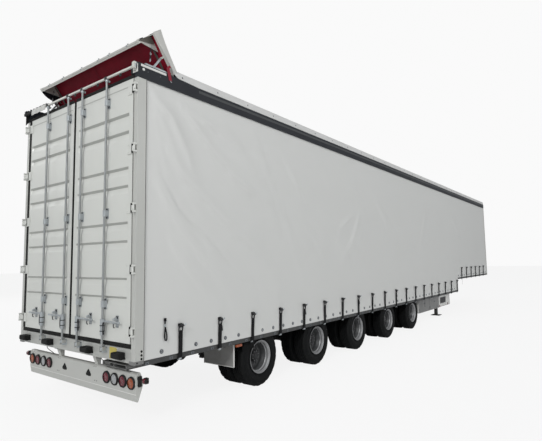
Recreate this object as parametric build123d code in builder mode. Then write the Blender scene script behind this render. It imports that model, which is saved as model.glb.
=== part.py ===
from build123d import *
import os
from math import cos, pi, radians, sin

os.makedirs("parts", exist_ok=True)

# Five-axle curtain-side semi trailer with a low deck behind and a step up over the towing
# vehicle, container-style rear doors, and a sliding roof whose tail section is raised.
# Lengths are millimetres. X points forward, Y to the trailer's left, Z up from the ground.

# Overall sizes
BODY_WIDTH = 2550
BODY_LENGTH = 16750
ROOF_TOP = 4000
BUFFER_DEPTH = 90
HALF_WIDTH = BODY_WIDTH / 2
REAR = BUFFER_DEPTH - (BODY_LENGTH + BUFFER_DEPTH) / 2
FRONT = REAR + BODY_LENGTH
OVERRUN = 5
BAR_SIDES = 8
ROUND = 0
SEAT_GAP = 0.3
RUNNING_GAP = 0.05
MOVING_GAP = 6

# Wheels: twin tyres on five axles
AXLE_COUNT = 5
REAR_OVERHANG = 2131
FIRST_AXLE = REAR + REAR_OVERHANG
AXLE_SPACING = 1520
LAST_AXLE = FIRST_AXLE + (AXLE_COUNT - 1) * AXLE_SPACING
TYRE_RADIUS = 405
TYRE_WIDTH = 233
TWIN_SPACING = 265
TYRE_TO_SIDE = 50
TYRE_OUTER_FACE = HALF_WIDTH - TYRE_TO_SIDE
TYRE_SIDES = 16
TREAD_INSET = 22
SHOULDER_DROP = 70
BULGE_RADIUS = TYRE_RADIUS - SHOULDER_DROP
BEAD_RADIUS = 222
BEAD_INSET = 28
AXLE_HEIGHT = TYRE_RADIUS * cos(pi / TYRE_SIDES)

# Rim and hub, depths measured inward from the outer tyre's face
RIM_START = 14
RIM_END = TWIN_SPACING + TYRE_WIDTH - RIM_START
RIM_WALL = 14
DISH_MOUTH_RADIUS = BEAD_RADIUS - RIM_WALL
DISH_TAPER = 40
DISH_FLOOR_RADIUS = DISH_MOUTH_RADIUS - DISH_TAPER
DISH_FLOOR = 178
HUB_RADIUS = 92
HUB_NOSE = 100
SPINDLE_RADIUS = 40
SPINDLE_TIP = 135
RIM_TO_BEAM = 16
SPINDLE_ROOT = RIM_END + RIM_TO_BEAM

# Heights and step of the load floor
TYRE_HEADROOM = 35
LOW_FLOOR_UNDERSIDE = 2 * TYRE_RADIUS + TYRE_HEADROOM
STEP_RISE = 377
HIGH_FLOOR_UNDERSIDE = LOW_FLOOR_UNDERSIDE + STEP_RISE
FLOOR_THICKNESS = 28
NECK_LENGTH = 4373
STEP = FRONT - NECK_LENGTH
RISER_THICKNESS = 30
WALL_THICKNESS = 60

# Chassis beams, cross members and side rails
BEAM_CLEARANCE = 97
BEAM_WIDTH = 140
BEAM_CENTRE = TYRE_OUTER_FACE - TWIN_SPACING - TYRE_WIDTH - BEAM_CLEARANCE - BEAM_WIDTH / 2
BEAM_WEB = 10
BEAM_FLANGE = 14
BEAM_SETBACK = 130
BEAM_TAIL = REAR + BEAM_SETBACK
AXLE_TO_BEAM = 148
BEAM_UNDERSIDE = AXLE_HEIGHT + AXLE_TO_BEAM
BEAM_TAIL_RISE = 155
BEAM_TAIL_UNDERSIDE = BEAM_UNDERSIDE + BEAM_TAIL_RISE
BEAM_TAIL_RUN = 1100
NECK_DEPTH = 164
NECK_UNDERSIDE = HIGH_FLOOR_UNDERSIDE - NECK_DEPTH
NECK_TOE = 150
NECK_FOOT = STEP - NECK_TOE
NECK_RUN = 420
NECK_HEEL = STEP + NECK_RUN
NECK_FRONT = FRONT - WALL_THICKNESS
LEG_SHARE = 0.34
CROSS_LOW_SHARES = (0.78, 0.56, LEG_SHARE, 0.12)
CROSS_HIGH_SHARES = (0.12, 0.34, 0.56, 0.78)
CROSS_WIDTH = 70
CROSS_DEPTH = 80
CROSS_UNDERSIDE = LOW_FLOOR_UNDERSIDE - CROSS_DEPTH
CROSS_SETBACK = 532
CROSS_FIRST = FIRST_AXLE - CROSS_SETBACK
CROSS_BEHIND_STEP = LAST_AXLE + AXLE_SPACING / 2
RAIL_SETBACK = 20
RAIL_OUTER = HALF_WIDTH - RAIL_SETBACK
RAIL_WEB = 8
LOW_RAIL_DROP = 189
LOW_RAIL_UNDERSIDE = LOW_FLOOR_UNDERSIDE - LOW_RAIL_DROP
HIGH_RAIL_DROP = 174
HIGH_RAIL_UNDERSIDE = HIGH_FLOOR_UNDERSIDE - HIGH_RAIL_DROP
RAIL_RISER_WIDTH = 120

# Rear frame
POST_DEPTH = 116
POST_WIDTH = 59
POST_INNER = HALF_WIDTH - POST_WIDTH
POST_RETURN = 36
SILL_TOP = LOW_FLOOR_UNDERSIDE
SILL_DEPTH = 145
SILL_UNDERSIDE = SILL_TOP - SILL_DEPTH
POST_TOE = 5
POST_FOOT = SILL_UNDERSIDE - POST_TOE
SILL_WALL = 8
BUFFER_WIDTH = 140
BUFFER_RISE = 45
BUFFER_UNDERSIDE = SILL_UNDERSIDE + BUFFER_RISE
BUFFER_HEIGHT = 60
BUFFER_TOP = BUFFER_UNDERSIDE + BUFFER_HEIGHT
BUFFER_SHARES = (0.35, 0.8235)
BUFFER_EDGE = 8

# Roof rails, curtain and roof
ROOF_DEPTH = 200
RAIL_TRACK = ROOF_TOP - ROOF_DEPTH
TRACK_LIP = 55
RAIL_LIP_UNDERSIDE = RAIL_TRACK - TRACK_LIP
RAIL_BOX_HEIGHT = 90
ROOF_RAIL_TOP = RAIL_TRACK + RAIL_BOX_HEIGHT
ROOF_RAIL_WIDTH = 125
ROOF_RAIL_LIP = 6
TAIL_RAIL_RAISE = 22
TAIL_RAIL_TOP = ROOF_RAIL_TOP + TAIL_RAIL_RAISE
TAIL_RAIL_LENGTH = 400
TAIL_RAIL_TAPER = 500
CURTAIN_SETBACK = 9
CURTAIN_OUTER = HALF_WIDTH - CURTAIN_SETBACK
CURTAIN_THICKNESS = 8
CURTAIN_DROP = 131
CURTAIN_UNDERSIDE = LOW_FLOOR_UNDERSIDE - CURTAIN_DROP
CURTAIN_HIGH_DROP = 116
CURTAIN_HIGH_UNDERSIDE = HIGH_FLOOR_UNDERSIDE - CURTAIN_HIGH_DROP
PILLAR_SHARES = (0.25, 0.495)
PILLAR_TO_STEP = 57
PILLAR_LENGTH = 100
PILLAR_DEPTH = 80
BOW_COUNT = 19
BOW_WIDTH = 45
BOW_DEPTH = 40
BOW_LEG = 60
BOW_SETBACK = 35
BOW_HALF_SPAN = HALF_WIDTH - BOW_SETBACK
TARP_THICKNESS = 10
TARP_SETBACK = 5
TARP_OUTER = HALF_WIDTH - TARP_SETBACK
TARP_SKIRT_WALL = 8
TARP_SKIRT_LIFT = 2
TARP_SKIRT_UNDERSIDE = ROOF_RAIL_TOP + TARP_SKIRT_LIFT

# Curtain straps
STRAP_COUNT = 25
STRAP_REAR_INSET = 610
STRAP_FRONT_INSET = 684
STRAP_FIRST = REAR + STRAP_REAR_INSET
STRAP_PITCH = (BODY_LENGTH - STRAP_REAR_INSET - STRAP_FRONT_INSET) / (STRAP_COUNT - 1)
STRAP_WIDTH = 45
STRAP_THICKNESS = 6
STRAP_RISE = 384
STRAP_HOOK = 6

# Rear doors, hinged at the posts' rear corners
DOOR_HEAD_DROP = 50
DOOR_TOP = RAIL_TRACK - DOOR_HEAD_DROP
DOOR_LIFT = 50
DOOR_UNDERSIDE = SILL_TOP + DOOR_LIFT
DOOR_HEIGHT = DOOR_TOP - DOOR_UNDERSIDE
DOOR_THICKNESS = 42
DOOR_EDGE_GAP = 8
DOOR_EDGE = POST_INNER - DOOR_EDGE_GAP
DOOR_MIDDLE_GAP = 25
SEAL_GAP = 7
SEAL_THICKNESS = 30
SEAL_INSET = 4
SEAL_HEAD = 15
GROOVE_HEIGHT = 100
GROOVE_DEPTH = 14
GROOVE_SHARES = (0.852, 0.782, 0.642, 0.572, 0.432, 0.362, 0.222, 0.152)
GROOVE_MARGIN = 80
GROOVE_FLARE = 40
KNUCKLE_RADIUS = 11
PIN_OFFSET = 28
PIN_X = REAR - PIN_OFFSET
PIN_Y = HALF_WIDTH - KNUCKLE_RADIUS
PIN_RADIUS = 7
KNUCKLE_HEIGHT = 55
HINGE_SHARES = (0.0455, 0.2704, 0.4981, 0.724, 0.957)
MIDDLE_HINGE = 2
HINGE_PLATE_HEIGHT = 115
HINGE_PLATE_REACH = 96
HINGE_PLATE_THICKNESS = 9
HINGE_BEND = 10
HINGE_BEND_REACH = 30
LUG_HEIGHT = 20
LUG_GAP = 3

# Lock rods: centre line, foot, head, guides and handles
ROD_OFFSET = 38
ROD_RADIUS = 16
ROD_TOE = 55
ROD_FOOT = SILL_TOP - ROD_TOE
LEFT_ROD_SHARES = (0.513, 0.083)
RIGHT_ROD_SHARES = (-0.19, -0.6175)
GUIDE_SHARES = (0.1384, 0.4886, 0.9335)
GUIDE_HALF_WIDTH = 30
GUIDE_HEIGHT = 60
HANDLE_RISE = 215
HANDLE_HEIGHT = DOOR_UNDERSIDE + HANDLE_RISE
HANDLE_LENGTH = 330
HANDLE_BAR = 24
HANDLE_THICKNESS = 12
SLEEVE_DROP = 4
SLEEVE_HIGH = HANDLE_HEIGHT - SLEEVE_DROP
SLEEVE_LENGTH = 151
SLEEVE_RADIUS = 24
CATCH_DISTANCE = 210
CATCH_WIDTH = 30
CATCH_HEIGHT = 80
KEEPER_DROP = 13
KEEPER_TOP = SILL_TOP - KEEPER_DROP
KEEPER_HEIGHT = 62
KEEPER_GAP = 8
KEEPER_WALL = 8
KEEPER_DEPTH = 52
TIE_BAR_RISE = 35
TIE_BAR_LOW = RAIL_TRACK + TIE_BAR_RISE
TIE_BAR_HEIGHT = 25
TIE_BAR_FAR = 58
TIE_BAR_NEAR = 32
TIE_BLOCK_INSET = 85
TIE_BLOCK_INNER = HALF_WIDTH - TIE_BLOCK_INSET
TIE_BLOCK_SETBACK = 13
TIE_BLOCK_OUTER = HALF_WIDTH - TIE_BLOCK_SETBACK
ROD_HEAD_GAP = 7
ROD_HEAD = TIE_BAR_LOW - ROD_HEAD_GAP

# Raised tail section of the roof, sizes along it (from the hinge) and up from the hinge
STAY_LENGTH = 220
STAY_WIDTH = 16
STAY_DEPTH = 22
STAY_PIN_RADIUS = 6
STAY_EYE_RADIUS = 12
STAY_ROLLER_RADIUS = 16
STAY_ROLLER_GAP = 2
STAY_SIDE_GAP = 7
LID_LENGTH = 500
LID_HINGE_X = REAR + LID_LENGTH
LID_HINGE_Z = TAIL_RAIL_TOP + STAY_ROLLER_GAP + STAY_ROLLER_RADIUS
LID_OPENING = 54
LID_FLAP = 8
LID_TARP_LENGTH = LID_LENGTH - LID_FLAP
LID_BAR_SETBACK = 20
LID_BAR_OUTER = HALF_WIDTH - LID_BAR_SETBACK
LID_BAR_WIDTH = 40
LID_BAR_INNER = LID_BAR_OUTER - LID_BAR_WIDTH
LID_TARP_LOW = ROOF_TOP - LID_HINGE_Z - TARP_THICKNESS
LID_BAR_DEPTH = 38
LID_BAR_LOW = LID_TARP_LOW - LID_BAR_DEPTH
LID_SKIRT_DROP = 48
LID_SKIRT_LOW = LID_TARP_LOW - LID_SKIRT_DROP
LID_EYE_RADIUS = 15
LID_EYE_WIDTH = 20
LID_PIN_RADIUS = 8
LID_EAR_INSET = 110
LID_EAR_INNER = HALF_WIDTH - LID_EAR_INSET
LID_EAR_WIDTH = 15
LID_HEADER_INSET = 135
LID_HEADER_HALF = HALF_WIDTH - LID_HEADER_INSET
LID_HEADER_THICKNESS = 8
LID_HEADER_DROP = 155
LID_BEAM = 40
LID_GUSSET_LENGTH = 190
LID_GUSSET_THICKNESS = 8
STAY_INNER = LID_EAR_INNER + LID_EAR_WIDTH + STAY_SIDE_GAP
ROOF_AHEAD_OF_HINGE = 82
ROOF_START = LID_HINGE_X + ROOF_AHEAD_OF_HINGE

# Lamp bar under the rear frame
BAR_SETBACK = 95
BAR_REAR = REAR + BAR_SETBACK
BAR_INSET = 95
BAR_HALF = HALF_WIDTH - BAR_INSET
BAR_DROP = 120
BAR_TOP = SILL_UNDERSIDE - BAR_DROP
BAR_HEIGHT = 300
BAR_UNDERSIDE = BAR_TOP - BAR_HEIGHT
BAR_LIP = 80
BAR_CREASE = BAR_UNDERSIDE + BAR_LIP
BAR_DEPTH = 100
BAR_FOLD = 15
BAR_TOP_DEPTH = 55
BRACKET_SHARE = 0.3475
BRACKET_WIDTH = 60
CUTOUT_SHARE = 0.229
CUTOUT_WIDTH = 64
CUTOUT_HEIGHT = 58
CUTOUT_DEPTH = 30
LAMP_RADIUS = 58
LAMP_SIDES = 12
LAMP_RIM = 8
LAMP_DROP = 110
LAMP_HEIGHT = BAR_TOP - LAMP_DROP
LAMP_BASE = 12
LAMP_LENS = 8
RED_SHARES = (0.805, 0.5466)
AMBER_SHARES = (0.9322,)
CLEAR_SHARES = (0.6754,)
MARKER_ROOT = 30
MARKER_BASE_HEIGHT = 105
MARKER_BASE_DROP = 140
MARKER_BASE_LOW = BAR_TOP - MARKER_BASE_DROP
MARKER_OVERHANG = 55
MARKER_REACH = HALF_WIDTH + MARKER_OVERHANG
MARKER_ARM = 34
MARKER_ARM_DROP = 85
MARKER_ARM_LOW = BAR_TOP - MARKER_ARM_DROP
MARKER_LENS = 44

# Running gear under the beams
BEAM_AXLE_SIZE = 120
SADDLE_HALF_LENGTH = 80
SADDLE_RISE = 73
SADDLE_TOP = AXLE_HEIGHT + SADDLE_RISE
ARM_WIDTH = 70
ARM_THICKNESS = 40
ARM_PIVOT_REACH = 560
ARM_TAIL_REACH = 520
ARM_TAIL_DROP = 2
ARM_TAIL_HEIGHT = AXLE_HEIGHT - ARM_TAIL_DROP
ARM_TAIL_THICKNESS = 30
HANGER_WALL = 14
HANGER_LENGTH = 130
AIR_SPRING_RADIUS = 130
AIR_SPRING_SIDES = 10
AIR_SPRING_BEHIND = 390

# Things hung under the deck
FLAP_X = CROSS_FIRST
FLAP_THICKNESS = 8
FLAP_INSET = 35
FLAP_OUTER = TYRE_OUTER_FACE - FLAP_INSET
FLAP_WIDTH = 550
FLAP_LENGTH = 415
LOCKER_GAP = 134
LOCKER_BACK = LAST_AXLE + TYRE_RADIUS + LOCKER_GAP
LOCKER_SHARE = 0.4687
LOCKER_FRONT = LOCKER_BACK + (STEP - LOCKER_BACK) * LOCKER_SHARE
LOCKER_SETBACK = 75
LOCKER_OUTER = HALF_WIDTH - LOCKER_SETBACK
LOCKER_WIDTH = 440
LOCKER_HEIGHT = 450
LOCKER_UNDERSIDE = CROSS_UNDERSIDE - LOCKER_HEIGHT
PANEL_SHARE = 0.7747
PANEL_FRONT = LOCKER_BACK + (STEP - LOCKER_BACK) * PANEL_SHARE
PANEL_GAP = 30
PANEL_RISE = 10
PANEL_UNDERSIDE = LOCKER_UNDERSIDE + PANEL_RISE
PANEL_HEIGHT = 355
PANEL_THICKNESS = 20
PANEL_BORDER = 90
LEG_X = STEP - (STEP - CROSS_BEHIND_STEP) * LEG_SHARE
LEG_INSET = 405
LEG_CENTRE = HALF_WIDTH - LEG_INSET
LEG_SIZE = 110
LEG_INNER_SIZE = 86
LEG_SLEEVE_LENGTH = 345
LEG_FOOT_SIZE = 260
LEG_FOOT_THICKNESS = 16
LEG_SHAFT = 36
LEG_SHAFT_DROP = 20

# Coupling plate and kingpin
COUPLER_SETBACK = 450
COUPLER_FRONT = FRONT - COUPLER_SETBACK
COUPLER_LENGTH = 2000
COUPLER_HALF = BEAM_CENTRE + BEAM_WIDTH / 2
COUPLER_THICKNESS = 10
KINGPIN_SETBACK = 1550
KINGPIN_X = FRONT - KINGPIN_SETBACK
KINGPIN_RADIUS = 36.5
KINGPIN_COLLAR = 30
KINGPIN_NECK_RADIUS = 25.4
KINGPIN_NECK = 35
KINGPIN_HEAD = 19
KINGPIN_HEAD_RADIUS = 35.7

SIDES = (("left", 1), ("right", -1))
LOW_FLOOR = LOW_FLOOR_UNDERSIDE + FLOOR_THICKNESS
HIGH_FLOOR = HIGH_FLOOR_UNDERSIDE + FLOOR_THICKNESS
AXLES = [FIRST_AXLE + place * AXLE_SPACING for place in range(AXLE_COUNT)]
PILLAR_PLACES = [REAR + BODY_LENGTH * share for share in PILLAR_SHARES] + [STEP - PILLAR_TO_STEP]
HINGE_PLACES = [DOOR_UNDERSIDE + DOOR_HEIGHT * share for share in HINGE_SHARES]
GUIDE_PLACES = [DOOR_UNDERSIDE + DOOR_HEIGHT * share for share in GUIDE_SHARES]
LEFT_RODS = [DOOR_EDGE * share for share in LEFT_ROD_SHARES]
RIGHT_RODS = [DOOR_EDGE * share for share in RIGHT_ROD_SHARES]


def block(x_faces, y_faces, z_faces, mode=Mode.ADD):
    """A squared block between its low and high faces."""
    spans = (x_faces, y_faces, z_faces)
    with Locations(tuple((low + high) / 2 for low, high in spans)):
        Box(*(high - low for low, high in spans), mode=mode)


def side_profile(points, y_low, y_high, mode=Mode.ADD):
    """A side view outline of (X, Z) points, carried from one Y to another."""
    with BuildSketch(Plane.XZ.offset(-y_low)) as outline:
        with BuildLine():
            Polyline(*points, close=True)
        make_face()
    extrude(outline.sketch, amount=y_low - y_high, mode=mode)


def end_profile(points, x_low, x_high, mode=Mode.ADD):
    """An end view outline of (Y, Z) points, carried from one X to another."""
    with BuildSketch(Plane.YZ.offset(x_low)) as outline:
        with BuildLine():
            Polyline(*points, close=True)
        make_face()
    extrude(outline.sketch, amount=x_high - x_low, mode=mode)


def plan_profile(points, z_low, z_high, mode=Mode.ADD):
    """A plan outline of (X, Y) points, carried from one height to another."""
    with BuildSketch(Plane.XY.offset(z_low)) as outline:
        with BuildLine():
            Polyline(*points, close=True)
        make_face()
    extrude(outline.sketch, amount=z_high - z_low, mode=mode)


def bar_section(radius, mode, sides):
    """A circle, or a polygon of that many sides: a bar stays within the radius, a bore clears it."""
    if sides:
        RegularPolygon(radius, sides, major_radius=mode == Mode.ADD)
    else:
        Circle(radius)


def bar_y(radius, x, z, y_low, y_high, mode=Mode.ADD, sides=BAR_SIDES):
    """A bar or bore along Y."""
    with BuildSketch(Plane.XZ.offset(-y_low)) as outline:
        with Locations((x, z)):
            bar_section(radius, mode, sides)
    extrude(outline.sketch, amount=y_low - y_high, mode=mode)


def bar_x(radius, y, z, x_low, x_high, mode=Mode.ADD, sides=BAR_SIDES):
    """A bar or bore along X."""
    with BuildSketch(Plane.YZ.offset(x_low)) as outline:
        with Locations((y, z)):
            bar_section(radius, mode, sides)
    extrude(outline.sketch, amount=x_high - x_low, mode=mode)


def bar_z(radius, x, y, z_low, z_high, mode=Mode.ADD, sides=BAR_SIDES):
    """A bar or bore along Z."""
    with BuildSketch(Plane.XY.offset(z_low)) as outline:
        with Locations((x, y)):
            bar_section(radius, mode, sides)
    extrude(outline.sketch, amount=z_high - z_low, mode=mode)


def faceted_ring(profile, sides):
    """A many-sided ring about the Y axis, from a closed profile of (Y, radius) points."""
    turns = [pi * corner / sides for corner in range(1, 2 * sides + 3, 2)]
    faces = []
    for (y, radius), (next_y, next_radius) in zip(profile, profile[1:] + profile[:1]):
        for turn, next_turn in zip(turns, turns[1:]):
            corners = [
                (radius * cos(turn), y, radius * sin(turn)),
                (radius * cos(next_turn), y, radius * sin(next_turn)),
                (next_radius * cos(next_turn), next_y, next_radius * sin(next_turn)),
                (next_radius * cos(turn), next_y, next_radius * sin(turn)),
            ]
            faces.append(Face(Wire.make_polygon(corners)))
    add(Solid(Shell(faces)))


# Chassis beams: two stepped I-beams that rise into the gooseneck, with the arms' hangers
HANGER_INNER = BEAM_CENTRE + ARM_WIDTH / 2 + SEAT_GAP
HANGER_OUTER = HANGER_INNER + HANGER_WALL
beam_outline = [
    (BEAM_TAIL, LOW_FLOOR_UNDERSIDE),
    (BEAM_TAIL, BEAM_TAIL_UNDERSIDE),
    (BEAM_TAIL + BEAM_TAIL_RUN, BEAM_UNDERSIDE),
    (NECK_FOOT, BEAM_UNDERSIDE),
    (NECK_HEEL, NECK_UNDERSIDE),
    (NECK_FRONT, NECK_UNDERSIDE),
    (NECK_FRONT, HIGH_FLOOR_UNDERSIDE),
    (STEP, HIGH_FLOOR_UNDERSIDE),
    (STEP, LOW_FLOOR_UNDERSIDE),
]
with BuildPart() as chassis_beams:
    side_profile(beam_outline, BEAM_CENTRE - BEAM_WEB / 2, BEAM_CENTRE + BEAM_WEB / 2)
    with BuildSketch(Plane.XZ.offset(-BEAM_CENTRE)) as flange_band:
        with BuildLine():
            Polyline(*beam_outline, close=True)
        make_face()
        offset(amount=-BEAM_FLANGE, kind=Kind.INTERSECTION, mode=Mode.SUBTRACT)
    extrude(flange_band.sketch, amount=BEAM_WIDTH / 2, both=True)
    for axle_x in AXLES:
        block(
            (axle_x + ARM_PIVOT_REACH - HANGER_LENGTH, axle_x + ARM_PIVOT_REACH),
            (HANGER_INNER, HANGER_OUTER),
            (ARM_TAIL_HEIGHT, BEAM_UNDERSIDE),
        )
        block(
            (axle_x + ARM_PIVOT_REACH - HANGER_LENGTH, axle_x + ARM_PIVOT_REACH),
            (2 * BEAM_CENTRE - HANGER_OUTER, 2 * BEAM_CENTRE - HANGER_INNER),
            (ARM_TAIL_HEIGHT, BEAM_UNDERSIDE),
        )
    mirror(about=Plane.XZ)

# Cross members: one between the beams and an outrigger each side, between the wheels
cross_places = [CROSS_FIRST] + [axle_x + AXLE_SPACING / 2 for axle_x in AXLES]
cross_places += [STEP - (STEP - CROSS_BEHIND_STEP) * share for share in CROSS_LOW_SHARES]
cross_high = [STEP + (FRONT - STEP) * share for share in CROSS_HIGH_SHARES]
BEAM_INNER = BEAM_CENTRE - BEAM_WIDTH / 2
BEAM_OUTER = BEAM_CENTRE + BEAM_WIDTH / 2
RAIL_INNER = RAIL_OUTER - RAIL_WEB
with BuildPart() as cross_members:
    for places, top in ((cross_places, LOW_FLOOR_UNDERSIDE), (cross_high, HIGH_FLOOR_UNDERSIDE)):
        for x in places:
            ends = (x - CROSS_WIDTH / 2, x + CROSS_WIDTH / 2)
            block(ends, (-BEAM_INNER, BEAM_INNER), (top - CROSS_DEPTH, top))
            for inner, outer in ((BEAM_OUTER, RAIL_INNER), (-RAIL_INNER, -BEAM_OUTER)):
                block(ends, (inner, outer), (top - CROSS_DEPTH, top))

# Load floor: low deck, riser and high deck in one folded sheet
FLOOR_BACK = REAR + DOOR_THICKNESS + MOVING_GAP
FLOOR_FRONT = FRONT - WALL_THICKNESS
with BuildPart() as load_floor:
    side_profile(
        [
            (FLOOR_BACK, LOW_FLOOR_UNDERSIDE),
            (STEP, LOW_FLOOR_UNDERSIDE),
            (STEP, HIGH_FLOOR_UNDERSIDE),
            (FLOOR_FRONT, HIGH_FLOOR_UNDERSIDE),
            (FLOOR_FRONT, HIGH_FLOOR),
            (STEP - RISER_THICKNESS, HIGH_FLOOR),
            (STEP - RISER_THICKNESS, LOW_FLOOR),
            (FLOOR_BACK, LOW_FLOOR),
        ],
        -RAIL_INNER,
        RAIL_INNER,
    )
    for side in (-1, 1):
        ends = sorted((side * (HALF_WIDTH - POST_WIDTH - POST_RETURN), side * RAIL_INNER))
        post_notch = (FLOOR_BACK - OVERRUN, REAR + POST_DEPTH)
        block(post_notch, ends, (LOW_FLOOR_UNDERSIDE, LOW_FLOOR), Mode.SUBTRACT)

# Side rails: stepped webs that close the floor's edges under the curtains
RAIL_BACK = REAR + POST_DEPTH
with BuildPart() as side_rails:
    side_profile(
        [
            (RAIL_BACK, LOW_RAIL_UNDERSIDE),
            (STEP, LOW_RAIL_UNDERSIDE),
            (STEP, HIGH_RAIL_UNDERSIDE),
            (FLOOR_FRONT, HIGH_RAIL_UNDERSIDE),
            (FLOOR_FRONT, HIGH_FLOOR),
            (STEP - RAIL_RISER_WIDTH, HIGH_FLOOR),
            (STEP - RAIL_RISER_WIDTH, LOW_FLOOR),
            (RAIL_BACK, LOW_FLOOR),
        ],
        RAIL_INNER,
        RAIL_OUTER,
    )
    mirror(about=Plane.XZ)

# Rear posts: folded section with a rebate for the door's edge
with BuildPart() as rear_posts:
    plan_profile(
        [
            (REAR, POST_INNER),
            (REAR, HALF_WIDTH),
            (REAR + POST_DEPTH, HALF_WIDTH),
            (REAR + POST_DEPTH, POST_INNER - POST_RETURN),
            (FLOOR_BACK, POST_INNER - POST_RETURN),
            (FLOOR_BACK, POST_INNER),
        ],
        POST_FOOT,
        RAIL_LIP_UNDERSIDE,
    )
    mirror(about=Plane.XZ)

# Rear sill: channel between the posts, with the keepers of the lock rods
SILL_HALF = POST_INNER - POST_RETURN
with BuildPart() as rear_sill:
    side_profile(
        [
            (REAR, SILL_UNDERSIDE),
            (REAR + POST_DEPTH, SILL_UNDERSIDE),
            (REAR + POST_DEPTH, SILL_UNDERSIDE + SILL_WALL),
            (REAR + SILL_WALL, SILL_UNDERSIDE + SILL_WALL),
            (REAR + SILL_WALL, SILL_TOP - SILL_WALL),
            (REAR + POST_DEPTH, SILL_TOP - SILL_WALL),
            (REAR + POST_DEPTH, SILL_TOP),
            (REAR, SILL_TOP),
        ],
        -SILL_HALF,
        SILL_HALF,
    )
    for side in (-1, 1):
        ends = sorted((side * SILL_HALF, side * POST_INNER))
        block((REAR, FLOOR_BACK), ends, (SILL_UNDERSIDE, SILL_TOP))
    for rod_y in LEFT_RODS + RIGHT_RODS:
        for side in (-1, 1):
            wall = sorted(
                (
                    rod_y + side * (ROD_RADIUS + KEEPER_GAP),
                    rod_y + side * (ROD_RADIUS + KEEPER_GAP + KEEPER_WALL),
                )
            )
            block((REAR - KEEPER_DEPTH, REAR), wall, (KEEPER_TOP - KEEPER_HEIGHT, KEEPER_TOP))

# Rubber buffers on the sill's rear face
with BuildPart() as buffers:
    for share in BUFFER_SHARES:
        centre = HALF_WIDTH * share
        block(
            (REAR - BUFFER_DEPTH, REAR),
            (centre - BUFFER_WIDTH / 2, centre + BUFFER_WIDTH / 2),
            (BUFFER_UNDERSIDE, BUFFER_TOP),
        )
    chamfer(buffers.edges().group_by(Axis.X)[0], length=BUFFER_EDGE)
    mirror(about=Plane.XZ)

# Post hinges: a lug above and below each knuckle, with the pin through them
with BuildPart() as post_hinges:
    for place, height in enumerate(HINGE_PLACES):
        for side in (-1, 1):
            low = height + side * (KNUCKLE_HEIGHT / 2 + LUG_GAP)
            ends = sorted((low, low + side * LUG_HEIGHT))
            plan_profile(
                [
                    (REAR, PIN_Y - KNUCKLE_RADIUS),
                    (PIN_X - KNUCKLE_RADIUS, PIN_Y - KNUCKLE_RADIUS),
                    (PIN_X - KNUCKLE_RADIUS, PIN_Y + KNUCKLE_RADIUS),
                    (REAR, PIN_Y + KNUCKLE_RADIUS),
                ],
                *ends,
            )
        reach = KNUCKLE_HEIGHT / 2 + LUG_GAP + LUG_HEIGHT
        sides = ROUND if place == MIDDLE_HINGE else BAR_SIDES
        bar_z(PIN_RADIUS, PIN_X, PIN_Y, height - reach, height + reach, sides=sides)
    mirror(about=Plane.XZ)

# Tie bar across the door heads, between blocks on the ends of the roof rails
with BuildPart() as tie_bar:
    block(
        (REAR - TIE_BAR_FAR, REAR - TIE_BAR_NEAR),
        (-TIE_BLOCK_OUTER, TIE_BLOCK_OUTER),
        (TIE_BAR_LOW, TIE_BAR_LOW + TIE_BAR_HEIGHT),
    )
    for side in (-1, 1):
        ends = sorted((side * TIE_BLOCK_INNER, side * TIE_BLOCK_OUTER))
        block((REAR - TIE_BAR_FAR, REAR), ends, (TIE_BAR_LOW, TAIL_RAIL_TOP))

# Roof rails: closed box with the curtain track's lip outside, raised at the tail,
# with the ears that carry the tail section's pins
RAIL_BOX_INNER = HALF_WIDTH - ROOF_RAIL_WIDTH
with BuildPart() as roof_rails:
    end_profile(
        [
            (HALF_WIDTH, RAIL_LIP_UNDERSIDE),
            (HALF_WIDTH, ROOF_RAIL_TOP),
            (RAIL_BOX_INNER, ROOF_RAIL_TOP),
            (RAIL_BOX_INNER, RAIL_TRACK),
            (HALF_WIDTH - ROOF_RAIL_LIP, RAIL_TRACK),
            (HALF_WIDTH - ROOF_RAIL_LIP, RAIL_LIP_UNDERSIDE),
        ],
        REAR,
        FRONT,
    )
    block(
        (REAR, REAR + POST_DEPTH),
        (POST_INNER, HALF_WIDTH),
        (RAIL_LIP_UNDERSIDE, RAIL_TRACK),
    )
    side_profile(
        [
            (REAR, ROOF_RAIL_TOP),
            (REAR + TAIL_RAIL_LENGTH + TAIL_RAIL_TAPER, ROOF_RAIL_TOP),
            (REAR + TAIL_RAIL_LENGTH, TAIL_RAIL_TOP),
            (REAR, TAIL_RAIL_TOP),
        ],
        RAIL_BOX_INNER,
        HALF_WIDTH,
    )
    ear_end = LID_EAR_INNER + LID_EAR_WIDTH
    side_profile(
        [
            (LID_HINGE_X - 2 * LID_EYE_RADIUS, ROOF_RAIL_TOP),
            (LID_HINGE_X + 2 * LID_EYE_RADIUS, ROOF_RAIL_TOP),
            (LID_HINGE_X + LID_EYE_RADIUS, LID_HINGE_Z + LID_EYE_RADIUS),
            (LID_HINGE_X - LID_EYE_RADIUS, LID_HINGE_Z + LID_EYE_RADIUS),
        ],
        LID_EAR_INNER,
        ear_end,
    )
    lid_pin_ends = (LID_EAR_INNER, LID_BAR_INNER + LID_EYE_WIDTH)
    bar_y(LID_PIN_RADIUS, LID_HINGE_X, LID_HINGE_Z, *lid_pin_ends, sides=ROUND)
    mirror(about=Plane.XZ)

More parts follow.
